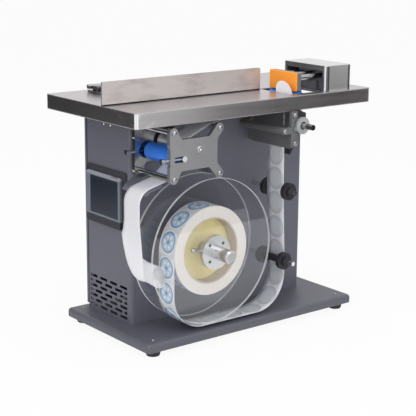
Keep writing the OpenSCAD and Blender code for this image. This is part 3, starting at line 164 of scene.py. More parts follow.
class Finish:
    """Nodes of a material or world, from expressions on Object coordinates or a UV map."""

    def __init__(self, name, owner=None):
        self.owner = owner or bpy.data.materials.new(name)
        self.owner.use_nodes = True
        self.tree = self.owner.node_tree
        self.tree.nodes.clear()

    def add(self, kind, settings=None, sockets=None, out=0):
        """One node: its type, its settings, and the values or links of its sockets."""
        node = self.tree.nodes.new(kind)
        for name, value in (settings or {}).items():
            setattr(node, name, value)
        for key, value in (sockets or {}).items():
            if isinstance(value, Sock):
                self.tree.links.new(value.out, node.inputs[key])
            else:
                node.inputs[key].default_value = value
        return Sock(self, node.outputs[out]) if node.outputs else None

    def math(self, operation, a, b=0.0):
        return self.add("ShaderNodeMath", {"operation": operation}, {0: a, 1: b})

    def mix(self, factor, a, b):
        """Colour between a and b: the node's colour sockets are 6 and 7, with output 2."""
        settings = {"data_type": "RGBA", "clamp_factor": True}
        return self.add("ShaderNodeMix", settings, {0: factor, 6: a, 7: b}, out=2)

    def blend(self, factor, first, second):
        return self.add("ShaderNodeMixShader", None, {0: factor, 1: first, 2: second})

    def object_place(self):
        return self.add("ShaderNodeTexCoord", out="Object")

    def uv_place(self):
        return self.add("ShaderNodeTexCoord", out="UV")

    def axes(self, vector):
        node = self.add("ShaderNodeSeparateXYZ", None, {0: vector}).out.node
        return [Sock(self, out) for out in node.outputs]

    def reach(self, a, b):
        return self.math("SQRT", a * a + b * b)

    def beyond(self, value, low, high):
        """How far a value lies outside a span, negative inside it."""
        return self.math("ABSOLUTE", value - (low + high) / 2) - (high - low) / 2

    def stretched(self, vector, scale, turn=(0, 0, 0)):
        sockets = {"Vector": vector, "Scale": scale, "Rotation": turn}
        return self.add("ShaderNodeMapping", None, sockets)

    def noise(self, vector, scale, detail=2.0, rough=0.5):
        sockets = {"Vector": vector, "Scale": scale, "Detail": detail, "Roughness": rough}
        return self.add("ShaderNodeTexNoise", None, sockets)

    def soft_step(self, value, low, high):
        sockets = {"Value": value, "From Min": low, "From Max": high}
        return self.add("ShaderNodeMapRange", {"interpolation_type": "SMOOTHSTEP"}, sockets)

    def soft_drop(self, value, low, high):
        return 1 - self.soft_step(value, low, high)

    def bump(self, height, strength, distance, normal=None):
        sockets = {"Height": height, "Strength": strength, "Distance": distance}
        if normal is not None:
            sockets["Normal"] = normal
        return self.add("ShaderNodeBump", None, sockets)

    def rounded(self, radius):
        """Normals as if the sharp edges were rounded."""
        return self.add("ShaderNodeBevel", {"samples": 6}, {"Radius": radius})

    def shader(self, colour, rough, metal=0.0, normal=None, **constants):
        sockets = {"Base Color": colour, "Roughness": rough, "Metallic": metal}
        if normal is not None:
            sockets["Normal"] = normal
        sockets.update({key.replace("_", " "): value for key, value in constants.items()})
        return self.add("ShaderNodeBsdfPrincipled", None, sockets)

    def glow(self, strength):
        return self.add("ShaderNodeEmission", None, {"Color": WHITE, "Strength": strength})

    def done(self, shader):
        self.add("ShaderNodeOutputMaterial", None, {"Surface": shader})
        return self.owner


def rgb(colour, gain=1.0):
    return (colour[0] * gain, colour[1] * gain, colour[2] * gain, 1.0)


WHITE = (1, 1, 1, 1)

# Properties


def tint(name, description, default):
    return bpy.props.FloatVectorProperty(
        name=name, description=description, subtype="COLOR", size=3, min=0, max=1, default=default
    )


def length(name, description, default):
    return bpy.props.FloatProperty(
        name=name, description=description, subtype="DISTANCE", unit="LENGTH", default=default,
        precision=5,
    )


def angle(name, description, degrees):
    return bpy.props.FloatProperty(
        name=name, description=description, subtype="ANGLE", default=math.radians(degrees)
    )


def power(name, description, default):
    return bpy.props.FloatProperty(
        name=name, description=description, subtype="POWER", default=default
    )


class LabellerColours(bpy.types.PropertyGroup):
    """Colours of the machine's finishes"""

    coat: tint("Powder coat", "Cabinet and rear cover", (0.132, 0.132, 0.170))
    # Painted shade: the base plate's coat is the cabinet's powder coat made darker, for the shade
    # that falls on the base
    base: tint("Shaded base coat", "Base plate", (0.110, 0.110, 0.139))
    steel: tint("Stainless sheet", "Table and fence arms", (0.51, 0.488, 0.498))
    fence: tint("Fence sheet", "Fence plate", (0.64, 0.595, 0.58))
    housing: tint("Housing sheet", "Press housing", (0.71, 0.705, 0.71))
    plate: tint("Machined plate", "Drive's front plate, motor plate", (0.39, 0.392, 0.408))
    satin: tint("Satin plate", "Drive's back plate", (0.46, 0.46, 0.47))
    alloy: tint("Turned aluminium", "Hub, bearing, pulleys", (0.82, 0.83, 0.84))
    spindle: tint("Turned spindle", "Reel spindle", (0.60, 0.60, 0.61))
    knob: tint("Turned knob", "Knob of the peel unit", (0.68, 0.69, 0.70))
    pad: tint("Press plate", "Plate behind the foam", (0.30, 0.31, 0.31))
    anodised: tint("Anodised grey", "Peel unit", (0.145, 0.146, 0.153))
    chrome: tint("Polished steel", "Axles, shafts and guide rods", (0.78, 0.78, 0.79))
    dull: tint("Dull steel", "Tie rods, press rods and screws", (0.44, 0.44, 0.45))
    roller: tint("Blue rubber", "Table roller and pinch roller", (0.028, 0.20, 0.80))
    black: tint("Black plastic", "Collars, knobs and sleeves", (0.025, 0.025, 0.030))
    surround: tint("Panel surround", "Surround of the touch panel", (0.042, 0.042, 0.055))
    block: tint("Press block", "Guide block of the press", (0.20, 0.20, 0.205))
    bezel: tint("Panel bezel", "Frame round the touch glass", (0.115, 0.13, 0.155))
    board: tint("Circuit board", "Control board", (0.02, 0.09, 0.04))
    foam: tint("Foam", "Press pad", (1.0, 0.35, 0.035))
    cream: tint("Cream boss", "Boss inside the label core", (1.0, 0.90, 0.48))
    card: tint("Cardboard", "Core of the label roll", (0.60, 0.53, 0.46))
    paper: tint("White paper", "Printed labels", (0.92, 0.89, 0.87))
    peeled: tint("Peeled label", "Label that stands at the blade", (1.0, 0.98, 1.0))
    blank: tint("Blank label", "Label left on the tail", (0.60, 0.60, 0.62))
    liner: tint("Backing paper", "Glazed backing paper", (0.76, 0.76, 0.80))
    ink: tint("Print", "Rings and dots on the labels", (0.045, 0.27, 0.52))


class LabellerSizes(bpy.types.PropertyGroup):
    """Sizes of what the scene adds to the part"""

    label: length("Label diameter", "Diameter of a round label", 0.043)
    pitch: length("Label pitch", "Distance between labels on the strip", 0.046)
    web: length("Paper thickness", "Thickness of the strip and the backing paper", 0.0003)
    screw: length("Small screw", "Head radius of the small screws", 0.0026)


class LabellerStage(bpy.types.PropertyGroup):
    """Camera and light"""

    eye: bpy.props.FloatVectorProperty(
        name="Camera", description="Camera position", subtype="XYZ", unit="LENGTH", size=3,
        default=(-1.35904, -1.69507, 0.74066),
    )
    yaw: angle("Yaw", "Camera turn from the back towards the right", 38.27)
    pitch: angle("Pitch", "Camera tilt down", 13.66)
    roll: angle("Roll", "Camera turn about its own axis", 0.44)
    lens: bpy.props.FloatProperty(
        name="Lens", description="Focal length in millimetres", default=104.18
    )
    key: power("Key light", "Power of the overhead light", 24)
    front: power("Front light", "Power of the front light", 16)
    fill: power("Fill light", "Power of the side light", 14)
    card: bpy.props.FloatProperty(
        name="Card", description="Tone of the grey studio cards", default=0.05
    )


# Finishes


def powder_coat(name, coat, joint=None):
    """Fine-grained coat; a joint is a dark line across the left side at that Y."""
    f = Finish(name)
    place = f.object_place()
    grain = f.noise(place, 1500, 2)
    cloud = f.noise(place, 5, 3)
    colour = f.mix(cloud, rgb(coat, 0.92), rgb(coat, 1.08))
    if joint is not None:
        low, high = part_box("rear_cover")
        x, y, z = f.axes(place)
        side = (x < (low[0] + 0.0004)) * (z < (high[2] - 0.012))
        seam = f.soft_drop(f.math("ABSOLUTE", y - joint), 0.0012, 0.0022)
        colour = f.mix(seam * side * 0.85, colour, (0.008, 0.008, 0.010, 1))
    return f.done(f.shader(colour, 0.40 + grain * 0.14, 0.0, f.bump(grain, 0.35, 0.0004)))


def brushed(name, colour, rough, grain_scale, edge=0.0, marks_and_painted_light=None):
    """Rolled and brushed sheet: fine streaks along the sheet, faint clouds from handling."""
    f = Finish(name)
    place = f.object_place()
    streak = f.noise(f.stretched(place, grain_scale), 1.0, 3, 0.6)
    cloud = f.noise(place, 9, 3)
    body = f.mix(cloud, rgb(colour, 0.90), rgb(colour, 1.06))
    tone = f.mix(streak, rgb(colour, 0.86), body)
    dull = rough + streak * 0.14 + cloud * 0.10
    # Marks laid over the tone: stains, scuffs, welds, and painted light and shade
    if marks_and_painted_light:
        tone = marks_and_painted_light(f, place, tone)
    edges = f.rounded(edge) if edge else None
    return f.done(f.shader(tone, dull, 1.0, f.bump(streak, 0.12, 0.0002, edges)))


def table_marks_and_sheen(f, place, tone):
    """Ground weld where the flanges meet, and scuffs along the flange that brighten towards the
    corner: partly real scuffs, partly a painted highlight.
    """
    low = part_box("tabletop")[0]
    x, y, z = f.axes(place)
    from_corner = f.math("MAXIMUM", x - low[0], y - low[1])
    flange = z < (low[2] + 0.0245)
    scuff = f.soft_step(f.noise(f.stretched(place, (22, 22, 70)), 1.0, 4, 0.65), 0.45, 0.75)
    # Painted highlight: the flange is lighter near the front left corner, in scuff-shaped patches
    scuffed_sheen = f.soft_drop(from_corner, 0.02, 0.12) * scuff
    weld = f.soft_drop(f.math("ABSOLUTE", from_corner - 0.0034), 0.0010, 0.0018)
    weld = weld * (x > (low[0] + 0.0002))
    bright = f.math("MAXIMUM", scuffed_sheen * 0.45, weld * 0.85) * flange
    tone = f.mix(bright, tone, (0.93, 0.92, 0.92, 1))
    slit = f.soft_drop(from_corner, 0.0010, 0.0018) * flange
    return f.mix(slit, tone, (0.10, 0.10, 0.11, 1))


def housing_painted_shading(f, place, tone):
    """Painted shade: darker bands along the folds of the front and a darker open end, with a
    painted highlight along the front's left corner.
    """
    low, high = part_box("press_housing")
    x, y, z = f.axes(place)
    front = (y < (low[1] + 0.0058)) * (z < (high[2] - 0.0008))
    # Painted shade where the front turns round its folds
    fold_shade = f.soft_step(f.beyond(x, low[0], high[0]), -0.0100, -0.0070)
    tone = f.mix(front * fold_shade * 0.9, tone, (0.07, 0.07, 0.075, 1))
    # Painted highlight along the front's left corner
    corner = f.soft_drop(x, low[0] + 0.0012, low[0] + 0.0022)
    tone = f.mix(front * corner, tone, (0.75, 0.75, 0.76, 1))
    # Painted shade on the open end
    end = (x < (low[0] + 0.0006)) * (1 - front)
    return f.mix(end * 0.65, tone, (0.12, 0.12, 0.125, 1))


def fence_stains_and_shadow(f, place, tone):
    """Handling stains, and a painted shadow along the foot of the fence."""
    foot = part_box("fence_plate")[0][2]
    z = f.axes(place)[2]
    stain = f.soft_step(f.noise(f.stretched(place, (16, 16, 45)), 1.0, 4, 0.62), 0.45, 0.72)
    tone = f.mix(stain * 0.55, tone, (0.36, 0.325, 0.31, 1))
    # Painted shadow: a dark band along the foot of the fence, above the table
    foot_shadow = f.soft_drop(z, foot + 0.0014, foot + 0.0026)
    return f.mix(foot_shadow, tone, (0.02, 0.02, 0.022, 1))


def polished(name, colour, rough):
    f = Finish(name)
    wipe = f.noise(f.object_place(), 60, 2)
    tone = f.mix(wipe, rgb(colour, 0.93), rgb(colour))
    return f.done(f.shader(tone, rough + wipe * 0.06, 1.0))


def turned(name, colour, centre, rough, spindle=0.0):
    """Lathe-turned rings round an axis along Y, darker on a spindle of the given radius."""
    f = Finish(name)
    x, y, z = f.axes(f.object_place())
    radius = f.reach(x - centre.x, z - centre.z)
    along = f.add("ShaderNodeCombineXYZ", None, {0: radius * 2600, 1: y * 900, 2: 0.0})
    rings = f.noise(along, 1.0, 2)
    tone = f.mix(rings, rgb(colour, 0.88), rgb(colour, 1.03))
    inner = radius < spindle
    tone = f.mix(inner, tone, rgb(colour, 0.42))
    dull = rough + rings * 0.14 - inner * (rough - 0.14)
    return f.done(f.shader(tone, dull, 1.0, f.bump(rings, 0.10, 0.0001)))


def moulded(name, colour, rough, grain_scale=1100, coat=0.0):
    f = Finish(name)
    place = f.object_place()
    grain = f.noise(place, grain_scale, 2)
    cloud = f.noise(place, 25, 2)
    tone = f.mix(cloud, rgb(colour, 0.88), rgb(colour, 1.12))
    gloss = {"Specular_IOR_Level": 0.32, "Coat_Weight": coat, "Coat_Roughness": 0.08}
    normal = f.bump(grain, 0.15, 0.0002)
    return f.done(f.shader(tone, rough + grain * 0.10, 0.0, normal, **gloss))


def rubber(name, colour, rough):
    f = Finish(name)
    place = f.object_place()
    grain = f.noise(place, 800, 3)
    dust = f.soft_step(f.noise(place, 30, 3), 0.35, 0.8)
    tone = f.mix(dust, rgb(colour, 0.92), rgb(colour, 1.10))
    return f.done(f.shader(tone, rough + grain * 0.12, 0.0, f.bump(grain, 0.2, 0.0003)))


def acrylic(name, centre, radius):
    """Clear disc: a faint mirror over what lies behind, with a half frosted sawn rim."""
    f = Finish(name)
    place = f.object_place()
    x, _, z = f.axes(place)
    scratch = f.noise(f.stretched(place, (40, 40, 700), (0, 0.6, 0)), 1.0, 2)
    haze = f.soft_step(scratch, 0.62, 0.75) * 0.10
    clear = f.shader((0.72, 0.735, 0.76, 1), haze, 1.0, Alpha=0.06)
    frosted = f.shader((0.93, 0.95, 0.97, 1), 0.45)
    rim = f.reach(x - centre.x, z - centre.z) > (radius - 0.0006)
    return f.done(f.blend(rim * 0.5, clear, frosted))


# Shares of a label's radius
RING_OUT, RING_IN = 0.90, 0.74
DOT_PLACE, DOT_RADIUS, MIDDLE_RADIUS = 0.46, 0.15, 0.17
PRINT_EDGE = 0.0003


def label_print(f, along, across, sizes, colours):
    """Round labels in a row on backing paper: a ring, a lighter field and a circle of dots."""
    pitch, radius = sizes.pitch, sizes.label / 2

    def inside(distance, limit):
        return f.soft_drop(distance, limit - PRINT_EDGE, limit + PRINT_EDGE)

    u = f.math("FLOORED_MODULO", along, pitch) - pitch / 2
    r = f.reach(u, across)
    sixth = math.pi / 3
    turn = f.math("FLOORED_MODULO", f.math("ARCTAN2", across, u), sixth) - sixth / 2
    dot_x = r * f.math("COSINE", turn) - radius * DOT_PLACE
    dot_y = r * f.math("SINE", turn)
    label = inside(r, radius)
    field = inside(r, radius * RING_IN)
    ring_band = inside(r, radius * RING_OUT) * (1 - field)
    dots = inside(f.reach(dot_x, dot_y), radius * DOT_RADIUS)
    middle = inside(r, radius * MIDDLE_RADIUS)
    tone = f.mix(label, rgb(colours.liner), rgb(colours.paper))
    tone = f.mix(field * 0.55, tone, rgb(colours.ink, 1.5))
    tone = f.mix(dots, tone, rgb(colours.paper, 0.95))
    tone = f.mix(f.math("MAXIMUM", ring_band, middle) * 0.85, tone, rgb(colours.ink))
    return tone, label


def strip_front(name, sizes, colours, total, width):
    f = Finish(name)
    u, v, _ = f.axes(f.uv_place())
    tone, label = label_print(f, u * total, (v - 0.5) * width, sizes, colours)
    return f.done(f.shader(tone, 0.38 - label * 0.08, 0.0, f.bump(label, 0.4, 0.0001)))


def strip_back(name, sizes, colours, total, width):
    """The labels show through the glazed paper as grey discs."""
    f = Finish(name)
    u, v, _ = f.axes(f.uv_place())
    along = f.math("FLOORED_MODULO", u * total, sizes.pitch) - sizes.pitch / 2
    r = f.reach(along, (v - 0.5) * width)
    radius = sizes.label / 2
    disc = f.soft_drop(r, radius - 0.0005, radius + 0.0005)
    hollow = f.soft_step(r, radius * 0.55, radius * 0.9)
    cloud = f.noise(f.uv_place(), 40, 3)
    grey = f.mix(hollow, (0.60, 0.625, 0.65, 1), (0.49, 0.52, 0.55, 1))
    tone = f.mix(disc * (0.78 + cloud * 0.22), rgb(colours.liner, 0.96), grey)
    return f.done(f.shader(tone, 0.34, 0.0, f.bump(disc, 0.3, 0.0001)))


def plain_paper(name, colour, rough):
    f = Finish(name)
    place = f.object_place()
    fibres = f.noise(place, 700, 4)
    cloud = f.noise(place, 18, 2)
    tone = f.mix(cloud, rgb(colour, 0.96), rgb(colour, 1.03))
    return f.done(f.shader(tone, rough, 0.0, f.bump(fibres, 0.10, 0.0002)))


def roll_paper(name, sizes, colours, centre, radius, mid_y):
    """Wound paper: fine layers on the sides, and on its rim labels that run on into the strip."""
    f = Finish(name)
    x, y, z = f.axes(f.object_place())
    dx = x - centre.x
    dz = z - centre.z
    reach = f.reach(dx, dz)
    across_layers = f.add("ShaderNodeCombineXYZ", None, {0: reach * 3200, 1: 0.0, 2: 0.0})
    layers = f.noise(across_layers, 1.0, 2)
    side = f.mix(layers, (0.77, 0.73, 0.69, 1), (0.86, 0.83, 0.79, 1))
    leave = heading(STRIP_WRAPS[0], STRIP_WRAPS[1])
    start = math.atan2(math.cos(leave), -math.sin(leave))
    turn = f.math("ARCTAN2", 0.0 - dz, 0.0 - dx) - start
    # Whole pitches keep the run positive without moving the print
    along = turn * radius + sizes.pitch * 20
    rim_tone, _ = label_print(f, along, y - mid_y, sizes, colours)
    rim = reach > (radius - 0.0004)
    tone = f.mix(rim, side, rim_tone)
    normal = f.bump(layers * (1 - rim), 0.25, 0.0002)
    return f.done(f.shader(tone, 0.5 - rim * 0.14, 0.0, normal))


def cardboard(name, colour):
    f = Finish(name)
    fibre = f.noise(f.stretched(f.object_place(), (300, 900, 300)), 1.0, 4)
    tone = f.mix(fibre, rgb(colour, 0.7), rgb(colour, 1.25))
    return f.done(f.shader(tone, 0.85, 0.0, f.bump(fibre, 0.5, 0.0004)))


def sponge(name, colour):
    f = Finish(name)
    sockets = {"Vector": f.object_place(), "Scale": 900.0}
    pore = f.soft_step(f.add("ShaderNodeTexVoronoi", None, sockets), 0.15, 0.55)
    tone = f.mix(pore, rgb(colour, 0.86), rgb(colour, 1.04))
    return f.done(f.shader(tone, 0.82, 0.0, f.bump(pore, 0.35, 0.0004)))


def panel_frame(name, bezel):
    """Frame round the glass: a top bevel painted lighter as if lit from above, with vents on top, a
    painted highlight round the glass, and a dark blank strip below.
    """
    f = Finish(name)
    place = f.object_place()
    _, y, z = f.axes(place)
    low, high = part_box("screen_bezel")
    glass_low, glass_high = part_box("screen_glass")
    grain = f.noise(place, 900, 2)
    # Painted highlight: the top bevel is lighter where light from above falls on it
    lit_chamfer = f.soft_step(z, high[2] - 0.0054, high[2] - 0.0048)
    strip = f.soft_drop(z, glass_low[2] - 0.0042, glass_low[2] - 0.0034)
    over_y = f.beyond(y, glass_low[1], glass_high[1])
    over_z = f.beyond(z, glass_low[2], glass_high[2])
    # Painted highlight: a lighter band round the glass
    line = f.math("MAXIMUM", over_y, over_z) < 0.0022
    vents = f.math("FLOORED_MODULO", y - low[1], 0.0052) < 0.0022
    vents = vents * (y > (low[1] + 0.008)) * (y < (low[1] + 0.028)) * (z > (high[2] - 0.0026))
    tone = f.mix(line, rgb(bezel, 1.45), rgb(bezel, 1.75))
    tone = f.mix(lit_chamfer, tone, (0.35, 0.355, 0.41, 1))
    tone = f.mix(vents, tone, (0.05, 0.05, 0.06, 1))
    tone = f.mix(strip, tone, (0.026, 0.028, 0.038, 1))
    normal = f.bump(grain, 0.15, 0.0002)
    return f.done(f.shader(tone, 0.34 + grain * 0.1, 0.0, normal, Specular_IOR_Level=0.3))


def touch_glass(name):
    """Switched-off display behind a glossy front: a darker live area inside a thin border."""
    f = Finish(name)
    place = f.object_place()
    low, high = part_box("screen_glass")
    _, y, z = f.axes(place)
    inset = 0.005
    over_y = f.beyond(y, low[1] + inset, high[1] - inset)
    over_z = f.beyond(z, low[2] + inset, high[2] - inset)
    border = f.math("MAXIMUM", over_y, over_z) > 0
    cells = f.noise(place, 1800, 1)
    live = f.mix(cells, (0.012, 0.017, 0.030, 1), (0.016, 0.022, 0.038, 1))
    tone = f.mix(border, live, (0.020, 0.025, 0.038, 1))
    return f.done(f.shader(tone, 0.22 + cells * 0.05, 0.0, Specular_IOR_Level=0.32))


# Shapes


def ring(bm, radius, height, count):
    """Edges of a circle with a number of corners."""
    made = bmesh.ops.create_circle(
        bm, cap_ends=False, radius=radius, segments=count,
        matrix=Matrix.Translation((0, 0, height)),
    )
    verts = made["verts"]
    return [e for e in {e for v in verts for e in v.link_edges} if all(v in verts for v in e.verts)]


def stack(rings, place, axis):
    """Solid through a stack of rings, each (radius, height, corners), along an axis."""
    bm = bmesh.new()
    loops = [ring(bm, *spec) for spec in rings]
    for low, high in zip(loops, loops[1:]):
        bmesh.ops.bridge_loops(bm, edges=low + high)
    for loop in (loops[0], loops[-1]):
        bmesh.ops.contextual_create(bm, geom=loop)
    bmesh.ops.recalc_face_normals(bm, faces=bm.faces)
    turn = Vector((0, 0, 1)).rotation_difference(Vector(axis)).to_matrix().to_4x4()
    bmesh.ops.transform(bm, matrix=Matrix.Translation(place) @ turn, verts=bm.verts)
    return bm


def pin(place, axis, radius, height, count):
    return stack([(radius, 0, count), (radius, height, count)], place, axis)


def socket_screw(place, axis, radius, height):
    """Button head with a hexagon socket; axis points out of the head."""
    count = 20
    hexagon = radius * 0.5
    rings = [
        (radius, 0, count), (radius, height * 0.35, count), (radius * 0.86, height * 0.8, count),
        (radius * 0.64, height, count), (hexagon, height, 6), (hexagon, height * 0.35, 6),
    ]
    return stack(rings, place, axis)


def joined(shapes):
    """One bmesh with all the shapes."""
    bm = bmesh.new()
    for shape in shapes:
        mesh = bpy.data.meshes.new("part")
        shape.to_mesh(mesh)
        shape.free()
        bm.from_mesh(mesh)
        bpy.data.meshes.remove(mesh)
    return bm


def slab(low, high, bevel):
    """Block between two corners with rounded edges."""
    bm = bmesh.new()
    low, high = Vector(low), Vector(high)
    bmesh.ops.create_cube(bm, size=1.0)
    bmesh.ops.scale(bm, vec=high - low, verts=bm.verts)
    bmesh.ops.translate(bm, vec=(low + high) / 2, verts=bm.verts)
    bmesh.ops.bevel(
        bm, geom=bm.edges[:], offset=bevel, offset_type="OFFSET", segments=3, profile=0.5,
        affect="EDGES", material=-1,
    )
    return bm


def mesh_object(name, bm, materials):
    mesh = bpy.data.meshes.new(name)
    bm.to_mesh(mesh)
    bm.free()
    for material in materials:
        mesh.materials.append(material)
    obj = bpy.data.objects.new(name, mesh)
    bpy.context.scene.collection.objects.link(obj)
    return obj


def piece(name, bm, finishes, body, smooth=35):
    """Make a finished object that rides on a body and takes the named finishes."""
    obj = mesh_object(name, bm, [bpy.data.materials[finish] for finish in finishes])
    obj.data.shade_smooth()
    obj.data.set_sharp_from_angle(angle=math.radians(smooth))
    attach(obj, body)
    return obj


def thicken(obj, web, **settings):
    solid = obj.modifiers.new("Thickness", "SOLIDIFY")
    solid.thickness = web
    for name, value in settings.items():
        setattr(solid, name, value)


# Paper routes


def heading(a, b):
    """Direction of the straight between two wraps."""
    dx, dz = b[0] - a[0], b[1] - a[1]
    swing = b[2] * b[3] - a[2] * a[3]
    return math.atan2(dz, dx) - math.asin(max(-1.0, min(1.0, swing / math.hypot(dx, dz))))


def route(wraps, start=None):
    """Centre line of a strip from wrap to wrap."""
    ways = [heading(a, b) for a, b in zip(wraps, wraps[1:])]
    points = []
    for i, (x, z, radius, side) in enumerate(wraps):
        begin = (ways[0] if start is None else start) if i == 0 else ways[i - 1]
        end = ways[min(i, len(ways) - 1)]
        turn = (end - begin) % (2 * math.pi)
        if side < 0:
            turn -= 2 * math.pi
        # Rounding can turn a wrap of nothing into a whole round
        if abs(turn) > math.radians(350):
            turn = 0.0
        count = max(1, math.ceil(abs(math.degrees(turn)) / ARC_STEP)) if turn else 0
        for k in range(count + 1):
            bearing = begin + turn * (k / count if count else 0)
            out = radius * side
            points.append((x + out * math.sin(bearing), z - out * math.cos(bearing)))
    return points


def dense(points):
    """Split the long straights of a route."""
    out = [points[0]]
    for a, b in zip(points, points[1:]):
        count = max(1, math.ceil(math.dist(a, b) / RUN_STEP))
        for k in range(1, count + 1):
            out.append((a[0] + (b[0] - a[0]) * k / count, a[1] + (b[1] - a[1]) * k / count))
    return out


def paper_sheet(points, y0, y1):
    """Sheet along a route with a UV map: U runs along the paper, V across it."""
    bm = bmesh.new()
    uv = bm.loops.layers.uv.new("UVMap")
    run = [0.0]
    for a, b in zip(points, points[1:]):
        run.append(run[-1] + math.dist(a, b))
    first = [bm.verts.new(at(x, y0, z)) for x, z in points]
    edges = [bm.edges.new(pair) for pair in zip(first, first[1:])]
    rows = 4
    for _ in range(rows):
        made = bmesh.ops.extrude_edge_only(bm, edges=edges)["geom"]
        verts = [g for g in made if isinstance(g, bmesh.types.BMVert)]
        edges = [g for g in made if isinstance(g, bmesh.types.BMEdge)]
        bmesh.ops.translate(bm, vec=(0, (y1 - y0) / 1000 / rows, 0), verts=verts)

    def place(co):
        return round(co.x, 7), round(co.z, 7)

    low, high = at(0, y0, 0).y, at(0, y1, 0).y
    share = {place(v.co): s / run[-1] for v, s in zip(first, run)}
    for face in bm.faces:
        for loop in face.loops:
            co = loop.vert.co
            loop[uv].uv = (share[place(co)], (co.y - low) / (high - low))
    return bm, run[-1] / 1000


def eased(a, b, c, d, t):
    """Smooth curve through b and c, with a and d as its neighbours."""
    square = 2 * a - 5 * b + 4 * c - d
    cube = 3 * b - a - 3 * c + d
    return b + (c - a) * (t / 2) + square * (t * t / 2) + cube * (t**3 / 2)


def tail_rows(columns):
    """Rows of points across the tail, from the hanging paper to its free end."""
    last = len(TAIL_ROWS) - 1
    grid = [
        (Vector(back), Vector(front), Vector(TAIL_BELLY) * belly)
        for back, front, belly in TAIL_ROWS
    ]
    rows = []
    for i in range(last * TAIL_STEPS + 1):
        k = min(i // TAIL_STEPS, last - 1)
        near = [grid[min(max(j, 0), last)] for j in range(k - 1, k + 3)]
        back, front, belly = (
            eased(*(row[part] for row in near), i / TAIL_STEPS - k) for part in range(3)
        )
        rows.append([
            Vector(TAIL_FROM) + back * (1 - v) + front * v + belly * 4 * v * (1 - v)
            for v in (c / columns for c in range(columns + 1))
        ])
    return rows


def lofted_sheet(rows):
    """Sheet through rows of points, each row extruded from the one before."""
    bm = bmesh.new()
    verts = [bm.verts.new(at(*point)) for point in rows[0]]
    edges = [bm.edges.new(pair) for pair in zip(verts, verts[1:])]
    for row in rows[1:]:
        made = bmesh.ops.extrude_edge_only(bm, edges=edges)["geom"]
        edges = [g for g in made if isinstance(g, bmesh.types.BMEdge)]
        fresh = {g for g in made if isinstance(g, bmesh.types.BMVert)}
        verts = [
            next(e.other_vert(v) for e in v.link_edges if e.other_vert(v) in fresh) for v in verts
        ]
        for vert, point in zip(verts, row):
            vert.co = at(*point)
    return bm


def tail_oval(half_along, half_across, lift):
    """Flat oval that ends at the tail's free end, just off its front."""
    rows = tail_rows(2)
    left, end, right = (at(*point) for point in rows[-1])
    across = right - left
    along = end - at(*rows[-1 - TAIL_STEPS][1])
    out = along.cross(across).normalized()
    if out.y > 0:
        out = -out
    along = along.normalized() * half_along
    across = across.normalized() * half_across
    bm = bmesh.new()
    bmesh.ops.create_circle(bm, cap_ends=True, radius=1.0, segments=48)
    turn = Matrix((along, across, out)).transposed().to_4x4()
    place = Matrix.Translation(end - along + out * lift)
    bmesh.ops.transform(bm, matrix=place @ turn, verts=bm.verts)
    return bm


# Operators


class LabellerOperator:
    """Shared settings of the operators"""

    bl_options = {"REGISTER", "UNDO"}

    @property
    def colours(self):
        return bpy.context.scene.labeller_colours

    @property
    def sizes(self):
        return bpy.context.scene.labeller_sizes


